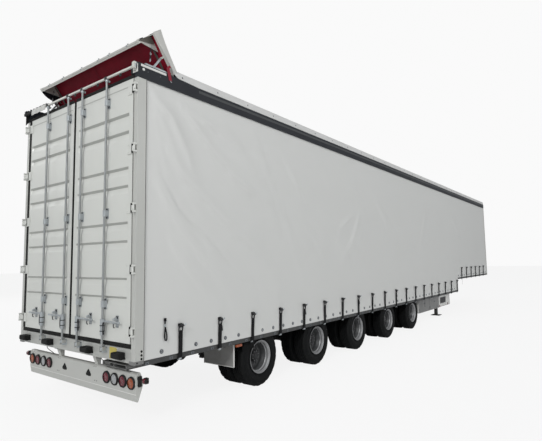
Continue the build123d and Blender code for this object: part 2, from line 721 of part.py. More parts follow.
# Front wall with a head between the roof rails
with BuildPart() as front_wall:
    end_profile(
        [
            (-HALF_WIDTH, HIGH_RAIL_UNDERSIDE),
            (HALF_WIDTH, HIGH_RAIL_UNDERSIDE),
            (HALF_WIDTH, RAIL_LIP_UNDERSIDE),
            (RAIL_BOX_INNER, RAIL_LIP_UNDERSIDE),
            (RAIL_BOX_INNER, ROOF_TOP - TARP_THICKNESS),
            (-RAIL_BOX_INNER, ROOF_TOP - TARP_THICKNESS),
            (-RAIL_BOX_INNER, RAIL_LIP_UNDERSIDE),
            (-HALF_WIDTH, RAIL_LIP_UNDERSIDE),
        ],
        FRONT - WALL_THICKNESS,
        FRONT,
    )

# Side pillars between the floor and the roof rails
with BuildPart() as side_pillars:
    for x in PILLAR_PLACES:
        floor_level = HIGH_FLOOR if x > STEP - RAIL_RISER_WIDTH else LOW_FLOOR
        block(
            (x - PILLAR_LENGTH / 2, x + PILLAR_LENGTH / 2),
            (RAIL_INNER - PILLAR_DEPTH, RAIL_INNER),
            (floor_level, RAIL_TRACK),
        )
    mirror(about=Plane.XZ)

# Roof bows: bars across the roof, on carriages that run along the roof rails
BOW_TOP = ROOF_TOP - TARP_THICKNESS
bow_start = ROOF_START + BOW_WIDTH
bow_end = FRONT - WALL_THICKNESS - 2 * BOW_WIDTH
with BuildPart() as roof_bows:
    for place in range(BOW_COUNT):
        x = bow_start + (bow_end - bow_start) * place / (BOW_COUNT - 1)
        block((x, x + BOW_WIDTH), (-BOW_HALF_SPAN, BOW_HALF_SPAN), (BOW_TOP - BOW_DEPTH, BOW_TOP))
tail_wedge = [
    (REAR, TAIL_RAIL_TOP),
    (REAR, ROOF_RAIL_TOP - OVERRUN),
    (REAR + TAIL_RAIL_LENGTH + TAIL_RAIL_TAPER, ROOF_RAIL_TOP - OVERRUN),
    (REAR + TAIL_RAIL_LENGTH + TAIL_RAIL_TAPER, ROOF_RAIL_TOP),
    (REAR + TAIL_RAIL_LENGTH, TAIL_RAIL_TOP),
]
with BuildPart() as bow_carriages:
    for place in range(BOW_COUNT):
        x = bow_start + (bow_end - bow_start) * place / (BOW_COUNT - 1)
        block(
            (x - BOW_WIDTH / 2, x + BOW_WIDTH * 3 / 2),
            (BOW_HALF_SPAN - BOW_LEG, BOW_HALF_SPAN),
            (ROOF_RAIL_TOP, BOW_TOP - BOW_DEPTH),
        )
    mirror(about=Plane.XZ)
    side_profile(tail_wedge, -HALF_WIDTH, HALF_WIDTH, Mode.SUBTRACT)

# Roof sheet with a skirt down each side
with BuildPart() as roof_sheet:
    end_profile(
        [
            (-TARP_OUTER, TARP_SKIRT_UNDERSIDE),
            (-TARP_OUTER, ROOF_TOP),
            (TARP_OUTER, ROOF_TOP),
            (TARP_OUTER, TARP_SKIRT_UNDERSIDE),
            (TARP_OUTER - TARP_SKIRT_WALL, TARP_SKIRT_UNDERSIDE),
            (TARP_OUTER - TARP_SKIRT_WALL, BOW_TOP),
            (TARP_SKIRT_WALL - TARP_OUTER, BOW_TOP),
            (TARP_SKIRT_WALL - TARP_OUTER, TARP_SKIRT_UNDERSIDE),
        ],
        ROOF_START,
        FRONT,
    )
    side_profile(tail_wedge, -HALF_WIDTH, HALF_WIDTH, Mode.SUBTRACT)

# Curtains: hung from the rail's track, stepped along the underside
curtain_outline = [
    (REAR + POST_DEPTH + SEAT_GAP, CURTAIN_UNDERSIDE),
    (STEP, CURTAIN_UNDERSIDE),
    (STEP, CURTAIN_HIGH_UNDERSIDE),
    (FLOOR_FRONT - SEAT_GAP, CURTAIN_HIGH_UNDERSIDE),
    (FLOOR_FRONT - SEAT_GAP, RAIL_TRACK - SEAT_GAP),
    (REAR + POST_DEPTH + SEAT_GAP, RAIL_TRACK - SEAT_GAP),
]
with BuildPart() as curtain_left:
    side_profile(curtain_outline, CURTAIN_OUTER - CURTAIN_THICKNESS, CURTAIN_OUTER)
with BuildPart() as curtain_right:
    side_profile(curtain_outline, -CURTAIN_OUTER, CURTAIN_THICKNESS - CURTAIN_OUTER)

# Curtain straps: webbing down the curtain to the side rail's edge
strap_inner = CURTAIN_OUTER + SEAT_GAP
with BuildPart() as curtain_straps:
    for place in range(STRAP_COUNT):
        x = STRAP_FIRST + place * STRAP_PITCH
        rail_underside = HIGH_RAIL_UNDERSIDE if x > STEP else LOW_RAIL_UNDERSIDE
        block(
            (x - STRAP_WIDTH / 2, x + STRAP_WIDTH / 2),
            (strap_inner, strap_inner + STRAP_THICKNESS),
            (rail_underside - STRAP_HOOK, rail_underside + STRAP_RISE),
        )
    mirror(about=Plane.XZ)

# Lamp bar: folded section on two brackets under the sill
BAR_FRONT = BAR_REAR + BAR_DEPTH
with BuildPart() as lamp_bar:
    side_profile(
        [
            (BAR_REAR, BAR_TOP - BAR_FOLD),
            (BAR_REAR + BAR_FOLD, BAR_TOP),
            (BAR_REAR + BAR_TOP_DEPTH, BAR_TOP),
            (BAR_FRONT, LAMP_HEIGHT),
            (BAR_REAR + BAR_FOLD + BAR_FOLD, BAR_UNDERSIDE),
            (BAR_REAR + BAR_FOLD, BAR_UNDERSIDE),
            (BAR_REAR, BAR_CREASE),
        ],
        -BAR_HALF,
        BAR_HALF,
    )
    for side in (-1, 1):
        centre = side * BAR_HALF * BRACKET_SHARE
        side_profile(
            [
                (BAR_REAR + BAR_FOLD, BAR_TOP),
                (BAR_REAR + BAR_TOP_DEPTH, BAR_TOP),
                (BAR_REAR + BAR_TOP_DEPTH, SILL_UNDERSIDE),
                (BAR_REAR - 2 * BAR_FOLD, SILL_UNDERSIDE),
            ],
            centre - BRACKET_WIDTH / 2,
            centre + BRACKET_WIDTH / 2,
        )
        cutout = side * BAR_HALF * CUTOUT_SHARE
        end_profile(
            [
                (cutout - CUTOUT_WIDTH / 2, LAMP_HEIGHT - CUTOUT_HEIGHT / 2),
                (cutout + CUTOUT_WIDTH / 2, LAMP_HEIGHT - CUTOUT_HEIGHT / 2),
                (cutout + CUTOUT_WIDTH / 4, LAMP_HEIGHT + CUTOUT_HEIGHT / 3),
                (cutout, LAMP_HEIGHT + CUTOUT_HEIGHT / 2),
                (cutout - CUTOUT_WIDTH / 4, LAMP_HEIGHT + CUTOUT_HEIGHT / 3),
            ],
            BAR_REAR - OVERRUN,
            BAR_REAR + CUTOUT_DEPTH,
            Mode.SUBTRACT,
        )

# Lamps: black bodies on the bar and rubber arms at its ends, with lenses on them
all_shares = RED_SHARES + AMBER_SHARES + CLEAR_SHARES
LENS_BACK = BAR_REAR - LAMP_BASE
marker_back = BAR_REAR + BAR_FOLD
with BuildPart() as lamp_bodies:
    for share in all_shares:
        lamp_ends = (LENS_BACK, BAR_REAR)
        lamp_y = BAR_HALF * share
        bar_x(LAMP_RADIUS + LAMP_RIM, lamp_y, LAMP_HEIGHT, *lamp_ends, sides=LAMP_SIDES)
    block(
        (marker_back, marker_back + MARKER_LENS),
        (BAR_HALF, BAR_HALF + MARKER_ROOT),
        (MARKER_BASE_LOW, MARKER_BASE_LOW + MARKER_BASE_HEIGHT),
    )
    block(
        (marker_back, marker_back + MARKER_ARM),
        (BAR_HALF + MARKER_ROOT, MARKER_REACH),
        (MARKER_ARM_LOW, MARKER_ARM_LOW + MARKER_ARM),
    )
    mirror(about=Plane.XZ)


def lens_row(shares):
    """Round lenses on the lamp bodies of one side."""
    for share in shares:
        lens_ends = (LENS_BACK - LAMP_LENS, LENS_BACK)
        bar_x(LAMP_RADIUS, BAR_HALF * share, LAMP_HEIGHT, *lens_ends, sides=LAMP_SIDES)


with BuildPart() as lamps_red:
    lens_row(RED_SHARES)
    block(
        (marker_back - LAMP_LENS, marker_back),
        (MARKER_REACH - MARKER_LENS, MARKER_REACH),
        (MARKER_ARM_LOW, MARKER_ARM_LOW + MARKER_ARM),
    )
    mirror(about=Plane.XZ)
with BuildPart() as lamps_amber:
    lens_row(AMBER_SHARES)
    mirror(about=Plane.XZ)
with BuildPart() as lamps_clear:
    lens_row(CLEAR_SHARES)
    mirror(about=Plane.XZ)

# Axles: square beam with saddles for the trailing arms and round spindles
SPINDLE_START = TYRE_OUTER_FACE - SPINDLE_ROOT
SPINDLE_END = TYRE_OUTER_FACE - SPINDLE_TIP
half_beam = BEAM_AXLE_SIZE / 2
with BuildPart() as axles:
    for axle_x in AXLES:
        block(
            (axle_x - half_beam, axle_x + half_beam),
            (-SPINDLE_START, SPINDLE_START),
            (AXLE_HEIGHT - half_beam, AXLE_HEIGHT + half_beam),
        )
        bar_y(SPINDLE_RADIUS, axle_x, AXLE_HEIGHT, -SPINDLE_END, SPINDLE_END, sides=ROUND)
        for centre in (-BEAM_CENTRE, BEAM_CENTRE):
            block(
                (axle_x - SADDLE_HALF_LENGTH, axle_x + SADDLE_HALF_LENGTH),
                (centre - ARM_WIDTH / 2, centre + ARM_WIDTH / 2),
                (AXLE_HEIGHT, SADDLE_TOP),
            )

# Trailing arms: from the hanger's pivot over the axle to the air spring's seat
ARM_PIVOT_HEIGHT = (SADDLE_TOP + ARM_TAIL_HEIGHT) / 2
ARM_NOSE = ARM_PIVOT_REACH - HANGER_LENGTH / 2
ARM_BEND = AIR_SPRING_BEHIND - AIR_SPRING_RADIUS
with BuildPart() as trailing_arms:
    for axle_x in AXLES:
        side_profile(
            [
                (axle_x + ARM_NOSE, ARM_PIVOT_HEIGHT - ARM_THICKNESS / 2),
                (axle_x + ARM_NOSE, ARM_PIVOT_HEIGHT + ARM_THICKNESS / 2),
                (axle_x + SADDLE_HALF_LENGTH, SADDLE_TOP + ARM_THICKNESS),
                (axle_x - SADDLE_HALF_LENGTH, SADDLE_TOP + ARM_THICKNESS),
                (axle_x - ARM_BEND, ARM_TAIL_HEIGHT + ARM_TAIL_THICKNESS),
                (axle_x - ARM_TAIL_REACH, ARM_TAIL_HEIGHT + ARM_TAIL_THICKNESS),
                (axle_x - ARM_TAIL_REACH, ARM_TAIL_HEIGHT),
                (axle_x - ARM_BEND, ARM_TAIL_HEIGHT),
                (axle_x - SADDLE_HALF_LENGTH, SADDLE_TOP),
                (axle_x + SADDLE_HALF_LENGTH, SADDLE_TOP),
            ],
            BEAM_CENTRE - ARM_WIDTH / 2,
            BEAM_CENTRE + ARM_WIDTH / 2,
        )
    mirror(about=Plane.XZ)

# Air springs between the arms' tails and the beams
with BuildPart() as air_springs:
    for axle_x in AXLES:
        with BuildSketch(Plane.XY.offset(ARM_TAIL_HEIGHT + ARM_TAIL_THICKNESS)) as bellows:
            with Locations((axle_x - AIR_SPRING_BEHIND, BEAM_CENTRE)):
                RegularPolygon(AIR_SPRING_RADIUS, AIR_SPRING_SIDES)
        extrude(
            bellows.sketch,
            amount=BEAM_UNDERSIDE - ARM_TAIL_HEIGHT - ARM_TAIL_THICKNESS,
        )
    mirror(about=Plane.XZ)

# Mudflaps behind the first axle
with BuildPart() as mudflaps:
    block(
        (FLAP_X - FLAP_THICKNESS / 2, FLAP_X + FLAP_THICKNESS / 2),
        (FLAP_OUTER - FLAP_WIDTH, FLAP_OUTER),
        (CROSS_UNDERSIDE - FLAP_LENGTH, CROSS_UNDERSIDE),
    )
    mirror(about=Plane.XZ)

# Side lockers and the framed side panels in front of them
with BuildPart() as side_lockers:
    block(
        (LOCKER_BACK, LOCKER_FRONT),
        (LOCKER_OUTER - LOCKER_WIDTH, LOCKER_OUTER),
        (LOCKER_UNDERSIDE, CROSS_UNDERSIDE),
    )
    block(
        (LOCKER_FRONT, PANEL_FRONT),
        (LOCKER_OUTER - PANEL_THICKNESS, LOCKER_OUTER),
        (PANEL_UNDERSIDE, PANEL_UNDERSIDE + PANEL_HEIGHT),
    )
    block(
        (LOCKER_FRONT + PANEL_GAP + PANEL_BORDER, PANEL_FRONT - PANEL_BORDER),
        (LOCKER_OUTER - PANEL_THICKNESS, LOCKER_OUTER),
        (PANEL_UNDERSIDE + PANEL_BORDER, PANEL_UNDERSIDE + PANEL_HEIGHT - PANEL_BORDER),
        Mode.SUBTRACT,
    )
    mirror(about=Plane.XZ)

# Landing legs, let down to the ground, with the shaft that joins their drives
LEG_SLEEVE_UNDERSIDE = CROSS_UNDERSIDE - LEG_SLEEVE_LENGTH
LEG_SHAFT_TOP = BEAM_UNDERSIDE - LEG_SHAFT_DROP
with BuildPart() as landing_legs:
    half_leg = LEG_SIZE / 2
    half_inner = LEG_INNER_SIZE / 2
    half_foot = LEG_FOOT_SIZE / 2
    block(
        (LEG_X - half_leg, LEG_X + half_leg),
        (LEG_CENTRE - half_leg, LEG_CENTRE + half_leg),
        (LEG_SLEEVE_UNDERSIDE, CROSS_UNDERSIDE),
    )
    block(
        (LEG_X - half_inner, LEG_X + half_inner),
        (LEG_CENTRE - half_inner, LEG_CENTRE + half_inner),
        (LEG_FOOT_THICKNESS, LEG_SLEEVE_UNDERSIDE),
    )
    block(
        (LEG_X - half_foot, LEG_X + half_foot),
        (LEG_CENTRE - half_foot, LEG_CENTRE + half_foot),
        (0, LEG_FOOT_THICKNESS),
    )
    mirror(about=Plane.XZ)
    block(
        (LEG_X - LEG_SHAFT / 2, LEG_X + LEG_SHAFT / 2),
        (half_leg - LEG_CENTRE, LEG_CENTRE - half_leg),
        (LEG_SHAFT_TOP - LEG_SHAFT, LEG_SHAFT_TOP),
    )

# Coupling plate under the neck, with the kingpin
PLATE_UNDERSIDE = NECK_UNDERSIDE - COUPLER_THICKNESS
with BuildPart() as coupler:
    block(
        (COUPLER_FRONT - COUPLER_LENGTH, COUPLER_FRONT),
        (-COUPLER_HALF, COUPLER_HALF),
        (PLATE_UNDERSIDE, NECK_UNDERSIDE),
    )
    neck_top = PLATE_UNDERSIDE - KINGPIN_COLLAR
    head_top = neck_top - KINGPIN_NECK
    for radius, low, high in (
        (KINGPIN_RADIUS, neck_top, PLATE_UNDERSIDE),
        (KINGPIN_NECK_RADIUS, head_top, neck_top),
        (KINGPIN_HEAD_RADIUS, head_top - KINGPIN_HEAD, head_top),
    ):
        with BuildSketch(Plane.XY.offset(low)) as pin_section:
            with Locations((KINGPIN_X, 0)):
                Circle(radius)
        extrude(amount=high - low)

# Door leaves: grooved panel with hinge plates wrapped back to the pins
DOOR_WIDTH = DOOR_EDGE - DOOR_MIDDLE_GAP
GROOVE_LENGTH = DOOR_WIDTH - 2 * GROOVE_MARGIN
groove_centres = [DOOR_UNDERSIDE + DOOR_HEIGHT * share for share in GROOVE_SHARES]
with BuildPart() as door_leaf:
    block((REAR, REAR + DOOR_THICKNESS), (DOOR_MIDDLE_GAP, DOOR_EDGE), (DOOR_UNDERSIDE, DOOR_TOP))
    with BuildSketch(Plane.YZ.offset(REAR)) as grooves:
        with Locations(*[((DOOR_EDGE + DOOR_MIDDLE_GAP) / 2, height) for height in groove_centres]):
            Rectangle(GROOVE_LENGTH, GROOVE_HEIGHT)
    extrude(grooves.sketch, amount=GROOVE_DEPTH, taper=GROOVE_FLARE, mode=Mode.SUBTRACT)
    for height in HINGE_PLACES:
        block(
            (REAR - HINGE_PLATE_THICKNESS, REAR),
            (DOOR_EDGE - HINGE_PLATE_REACH, DOOR_EDGE - HINGE_PLATE_THICKNESS),
            (height - HINGE_PLATE_HEIGHT / 2, height + HINGE_PLATE_HEIGHT / 2),
        )
        knuckle_ends = (height - KNUCKLE_HEIGHT / 2, height + KNUCKLE_HEIGHT / 2)
        plan_profile(
            [
                (REAR, DOOR_EDGE - 2 * HINGE_PLATE_THICKNESS),
                (REAR - HINGE_PLATE_THICKNESS, DOOR_EDGE - 2 * HINGE_PLATE_THICKNESS),
                (PIN_X + HINGE_BEND, PIN_Y - HINGE_BEND_REACH),
                (PIN_X, PIN_Y),
                (PIN_X + HINGE_PLATE_THICKNESS, PIN_Y),
                (PIN_X + HINGE_BEND + HINGE_PLATE_THICKNESS, PIN_Y - HINGE_BEND_REACH),
            ],
            *knuckle_ends,
        )
        bar_z(KNUCKLE_RADIUS, PIN_X, PIN_Y, *knuckle_ends)
        bar_z(PIN_RADIUS + RUNNING_GAP, PIN_X, PIN_Y, *knuckle_ends, Mode.SUBTRACT)

# Door seals: rubber along the leaf's foot, head and free edge
SEAL_FRONT = REAR + SEAL_INSET
SEAL_BACK = SEAL_FRONT + SEAL_THICKNESS
with BuildPart() as door_seal:
    block((SEAL_FRONT, SEAL_BACK), (SEAL_GAP, DOOR_MIDDLE_GAP), (DOOR_UNDERSIDE, DOOR_TOP + SEAL_HEAD))
    block((SEAL_FRONT, SEAL_BACK), (DOOR_MIDDLE_GAP, DOOR_EDGE), (DOOR_TOP, DOOR_TOP + SEAL_HEAD))
    block((SEAL_FRONT, SEAL_BACK), (SEAL_GAP, DOOR_EDGE), (SILL_TOP + MOVING_GAP, DOOR_UNDERSIDE))

for name, side in SIDES:
    leaf = door_leaf.part
    seal = door_seal.part
    if side < 0:
        leaf = mirror(leaf, about=Plane.XZ, mode=Mode.PRIVATE)
        seal = mirror(seal, about=Plane.XZ, mode=Mode.PRIVATE)
    with BuildPart() as door_panel:
        add(leaf)
    door_panel.part.label = f"door_{name}"
    export_step(door_panel.part, f"parts/door_{name}.step")
    with BuildPart() as door_rubber:
        add(seal)
    door_rubber.part.label = f"door_{name}_seal"
    export_step(door_rubber.part, f"parts/door_{name}_seal.step")

    # Lock gear: round rods in guides, each with a sleeve and a handle pointing outboard
    rod_x = REAR - ROD_OFFSET
    with BuildPart() as lock_gear:
        for rod_y in LEFT_RODS if side > 0 else RIGHT_RODS:
            bar_z(ROD_RADIUS, rod_x, rod_y, ROD_FOOT, ROD_HEAD)
            bar_z(SLEEVE_RADIUS, rod_x, rod_y, SLEEVE_HIGH - SLEEVE_LENGTH, SLEEVE_HIGH)
            for height in GUIDE_PLACES:
                block(
                    (rod_x, REAR),
                    (rod_y - GUIDE_HALF_WIDTH, rod_y + GUIDE_HALF_WIDTH),
                    (height - GUIDE_HEIGHT / 2, height + GUIDE_HEIGHT / 2),
                )
            handle = sorted((rod_y, rod_y + side * HANDLE_LENGTH))
            block(
                (rod_x - HANDLE_THICKNESS / 2, rod_x + HANDLE_THICKNESS / 2),
                handle,
                (HANDLE_HEIGHT - HANDLE_BAR / 2, HANDLE_HEIGHT + HANDLE_BAR / 2),
            )
            catch = sorted(
                (rod_y + side * CATCH_DISTANCE, rod_y + side * (CATCH_DISTANCE + CATCH_WIDTH))
            )
            block(
                (rod_x - HANDLE_THICKNESS / 2, REAR),
                catch,
                (HANDLE_HEIGHT - CATCH_HEIGHT / 2, HANDLE_HEIGHT + CATCH_HEIGHT / 2),
            )
    lock_gear.part.label = f"door_{name}_gear"
    export_step(lock_gear.part, f"parts/door_{name}_gear.step")

# Raised tail section: drawn in its own side view, along it and square to it
opening = radians(LID_OPENING)


def lid_point(along, up):
    """The (X, Z) place of a point of the raised section."""
    return (
        LID_HINGE_X - along * cos(opening) + up * sin(opening),
        LID_HINGE_Z + along * sin(opening) + up * cos(opening),
    )


def lid_profile(points, y_low, y_high, mode=Mode.ADD):
    """A side outline of the raised section, carried from one Y to another."""
    side_profile([lid_point(along, up) for along, up in points], y_low, y_high, mode)


HEADER_FAR = LID_TARP_LENGTH - SEAT_GAP
HEADER_NEAR = HEADER_FAR - LID_HEADER_THICKNESS
EYE_INNER = LID_BAR_INNER
EYE_OUTER = LID_BAR_INNER + LID_EYE_WIDTH
LUG_INNER = STAY_INNER + STAY_WIDTH + RUNNING_GAP
with BuildPart() as tail_frame:
    for y_ends in ((LID_BAR_INNER, LID_BAR_OUTER), (-LID_BAR_OUTER, -LID_BAR_INNER)):
        lid_profile(
            [
                (0, LID_BAR_LOW),
                (HEADER_FAR, LID_BAR_LOW),
                (HEADER_FAR, LID_TARP_LOW),
                (0, LID_TARP_LOW),
            ],
            *y_ends,
        )
    lid_profile(
        [
            (HEADER_NEAR, -LID_HEADER_DROP),
            (HEADER_FAR, -LID_HEADER_DROP),
            (HEADER_FAR, LID_TARP_LOW),
            (HEADER_NEAR, LID_TARP_LOW),
        ],
        -LID_HEADER_HALF,
        LID_HEADER_HALF,
    )
    lid_profile(
        [
            (HEADER_FAR - LID_BEAM, -LID_HEADER_DROP),
            (HEADER_FAR, -LID_HEADER_DROP),
            (HEADER_FAR, LID_BEAM - LID_HEADER_DROP),
            (HEADER_FAR - LID_BEAM, LID_BEAM - LID_HEADER_DROP),
        ],
        -LID_HEADER_HALF,
        LID_HEADER_HALF,
    )
    lid_profile(
        [
            (HEADER_NEAR, LID_BAR_LOW),
            (HEADER_FAR, LID_BAR_LOW),
            (HEADER_FAR, LID_TARP_LOW),
            (HEADER_NEAR, LID_TARP_LOW),
        ],
        -LID_BAR_INNER,
        LID_BAR_INNER,
    )
    for side in (-1, 1):
        gusset = sorted((side * (LID_HEADER_HALF - LID_GUSSET_THICKNESS), side * LID_HEADER_HALF))
        lid_profile(
            [
                (HEADER_NEAR - LID_GUSSET_LENGTH, LID_TARP_LOW),
                (HEADER_NEAR, -LID_HEADER_DROP),
                (HEADER_NEAR, LID_TARP_LOW),
            ],
            *gusset,
        )
        eye = sorted((side * EYE_INNER, side * EYE_OUTER))
        hinge_x, hinge_z = lid_point(0, 0)
        bar_y(LID_EYE_RADIUS, hinge_x, hinge_z, *eye)
        lid_profile(
            [
                (-LID_EYE_RADIUS, 0),
                (LID_EYE_RADIUS, 0),
                (LID_EYE_RADIUS, LID_BAR_LOW + OVERRUN),
                (-LID_EYE_RADIUS, LID_BAR_LOW + OVERRUN),
            ],
            *eye,
        )
        bar_y(LID_PIN_RADIUS + RUNNING_GAP, hinge_x, hinge_z, *eye, Mode.SUBTRACT)
        lug = sorted((side * LUG_INNER, side * LID_BAR_INNER))
        stay_x, stay_z = lid_point(STAY_LENGTH, 0)
        bar_y(STAY_EYE_RADIUS, stay_x, stay_z, *lug)
        lid_profile(
            [
                (STAY_LENGTH - STAY_EYE_RADIUS, 0),
                (STAY_LENGTH + STAY_EYE_RADIUS, 0),
                (STAY_LENGTH + STAY_EYE_RADIUS, LID_TARP_LOW),
                (STAY_LENGTH - STAY_EYE_RADIUS, LID_TARP_LOW),
            ],
            *lug,
        )
        stay_pin = sorted((side * STAY_INNER, side * LUG_INNER))
        bar_y(STAY_PIN_RADIUS, stay_x, stay_z, *stay_pin, sides=ROUND)

# Sheet over the raised section, with side skirts and a rear flap
with BuildPart() as tail_sheet:
    lid_profile(
        [
            (0, LID_SKIRT_LOW),
            (LID_LENGTH, LID_SKIRT_LOW),
            (LID_LENGTH, LID_TARP_LOW + TARP_THICKNESS),
            (0, LID_TARP_LOW + TARP_THICKNESS),
        ],
        -TARP_OUTER,
        TARP_OUTER,
    )
    lid_profile(
        [
            (-OVERRUN, LID_SKIRT_LOW - OVERRUN),
            (LID_TARP_LENGTH, LID_SKIRT_LOW - OVERRUN),
            (LID_TARP_LENGTH, LID_TARP_LOW),
            (-OVERRUN, LID_TARP_LOW),
        ],
        TARP_SKIRT_WALL - TARP_OUTER,
        TARP_OUTER - TARP_SKIRT_WALL,
        Mode.SUBTRACT,
    )

# Stays: pinned to the raised section, with a roller that runs along the roof rail
foot_x = LID_HINGE_X - 2 * STAY_LENGTH * cos(opening)
with BuildPart() as tail_stays:
    for side in (-1, 1):
        width = sorted((side * STAY_INNER, side * (STAY_INNER + STAY_WIDTH)))
        stay_x, stay_z = lid_point(STAY_LENGTH, 0)
        half_x = STAY_DEPTH / 2 * sin(opening)
        half_z = STAY_DEPTH / 2 * cos(opening)
        side_profile(
            [
                (stay_x - half_x, stay_z + half_z),
                (stay_x + half_x, stay_z - half_z),
                (foot_x + half_x, LID_HINGE_Z - half_z),
                (foot_x - half_x, LID_HINGE_Z + half_z),
            ],
            *width,
        )
        bar_y(STAY_EYE_RADIUS, stay_x, stay_z, *width)
        bar_y(STAY_ROLLER_RADIUS, foot_x, LID_HINGE_Z, *width)
        bar_y(STAY_PIN_RADIUS + RUNNING_GAP, stay_x, stay_z, *width, Mode.SUBTRACT)

# One tyre about the Y axis, outer face at zero, and one pair of rims with their hub
RIM_RADIUS = BEAD_RADIUS - SEAT_GAP
BORE_RADIUS = (SPINDLE_RADIUS + RUNNING_GAP) / cos(pi / TYRE_SIDES)
BORE_END = SPINDLE_TIP - MOVING_GAP
with BuildPart() as tyre_ring:
    faceted_ring(
        [
            (0, BULGE_RADIUS),
            (-TREAD_INSET, TYRE_RADIUS),
            (TREAD_INSET - TYRE_WIDTH, TYRE_RADIUS),
            (-TYRE_WIDTH, BULGE_RADIUS),
            (BEAD_INSET - TYRE_WIDTH, BEAD_RADIUS),
            (-BEAD_INSET, BEAD_RADIUS),
        ],
        TYRE_SIDES,
    )
with BuildPart() as twin_rims:
    faceted_ring(
        [
            (-RIM_START, RIM_RADIUS),
            (-RIM_END, RIM_RADIUS),
            (-RIM_END, BORE_RADIUS),
            (-BORE_END, BORE_RADIUS),
            (-BORE_END, HUB_RADIUS),
            (-DISH_FLOOR, HUB_RADIUS),
            (-DISH_FLOOR, DISH_FLOOR_RADIUS),
            (-RIM_START, DISH_MOUTH_RADIUS),
        ],
        TYRE_SIDES,
    )
    with BuildSketch(Plane.XZ.offset(HUB_NOSE)) as hub_nose:
        RegularPolygon(HUB_RADIUS, TYRE_SIDES, rotation=180 / TYRE_SIDES)
    extrude(hub_nose.sketch, amount=BORE_END - HUB_NOSE)

for place, axle_x in enumerate(AXLES, start=1):
    for name, side in SIDES:
        with BuildPart() as tyres:
            for inset in (0, TWIN_SPACING):
                outer_face = side * (TYRE_OUTER_FACE - inset)
                ring = tyre_ring.part if side > 0 else mirror(tyre_ring.part, mode=Mode.PRIVATE)
                with Locations((axle_x, outer_face, AXLE_HEIGHT)):
                    add(ring)
        tyres.part.label = f"tyres_{place}_{name}"
        export_step(tyres.part, f"parts/tyres_{place}_{name}.step")
        with BuildPart() as rims:
            hub = twin_rims.part if side > 0 else mirror(twin_rims.part, mode=Mode.PRIVATE)
            with Locations((axle_x, side * TYRE_OUTER_FACE, AXLE_HEIGHT)):
                add(hub)
        rims.part.label = f"rims_{place}_{name}"
        export_step(rims.part, f"parts/rims_{place}_{name}.step")

fixed_pieces = {
    "chassis_beams": chassis_beams,
    "cross_members": cross_members,
    "load_floor": load_floor,
    "side_rails": side_rails,
    "rear_posts": rear_posts,
    "rear_sill": rear_sill,
    "buffers": buffers,
    "post_hinges": post_hinges,
    "tie_bar": tie_bar,
    "roof_rails": roof_rails,
    "front_wall": front_wall,
    "side_pillars": side_pillars,
    "roof_bows": roof_bows,
    "bow_carriages": bow_carriages,
    "roof_sheet": roof_sheet,
    "curtain_left": curtain_left,
    "curtain_right": curtain_right,
    "curtain_straps": curtain_straps,
    "lamp_bar": lamp_bar,
    "lamp_bodies": lamp_bodies,
    "lamps_red": lamps_red,
    "lamps_amber": lamps_amber,
    "lamps_clear": lamps_clear,
    "axles": axles,
    "trailing_arms": trailing_arms,
    "air_springs": air_springs,
    "mudflaps": mudflaps,
    "side_lockers": side_lockers,
    "landing_legs": landing_legs,
    "coupler": coupler,
    "tail_frame": tail_frame,
    "tail_sheet": tail_sheet,
    "tail_stays": tail_stays,
}
for name, piece in fixed_pieces.items():
    piece.part.label = name
    export_step(piece.part, f"parts/{name}.step")
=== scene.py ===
from math import cos, pi, radians, sin

import bpy
import numpy as np
from mathutils import Matrix, Vector


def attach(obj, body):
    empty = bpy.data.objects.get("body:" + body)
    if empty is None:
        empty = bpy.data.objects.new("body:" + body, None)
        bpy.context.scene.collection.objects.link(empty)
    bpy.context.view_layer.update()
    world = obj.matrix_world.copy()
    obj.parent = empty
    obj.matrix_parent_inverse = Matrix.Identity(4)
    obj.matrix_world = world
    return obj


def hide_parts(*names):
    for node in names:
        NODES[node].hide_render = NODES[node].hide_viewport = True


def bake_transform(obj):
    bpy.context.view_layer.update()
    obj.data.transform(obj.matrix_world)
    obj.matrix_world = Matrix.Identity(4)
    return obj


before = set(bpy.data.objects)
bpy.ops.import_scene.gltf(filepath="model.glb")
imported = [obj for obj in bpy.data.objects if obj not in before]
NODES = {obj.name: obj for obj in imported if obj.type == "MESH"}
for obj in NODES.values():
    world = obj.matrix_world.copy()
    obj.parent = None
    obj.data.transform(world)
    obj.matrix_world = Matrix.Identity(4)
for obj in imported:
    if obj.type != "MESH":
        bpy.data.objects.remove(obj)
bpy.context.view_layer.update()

# Places of the CAD model in millimetres: X forward, Y left, Z up
MM = 0.001
REAR, NOSE = -8330, 8420
HALF, ROOF_TOP = 1275, 4000
DOOR_FOOT, DOOR_TALL, DOOR_EDGE = 895, 2855, 1208
LOW_RAIL, HIGH_RAIL = 656, 1048
SIDES = (("right", -1), ("left", 1))
DOOR_SIDES = SIDES[::-1]


# Materials: all procedural, each with its own slight unevenness
def tone(value):
    """A colour from three channels, or from one number for a grey."""
    return (*value, 1) if isinstance(value, tuple) else (value, value, value, 1)


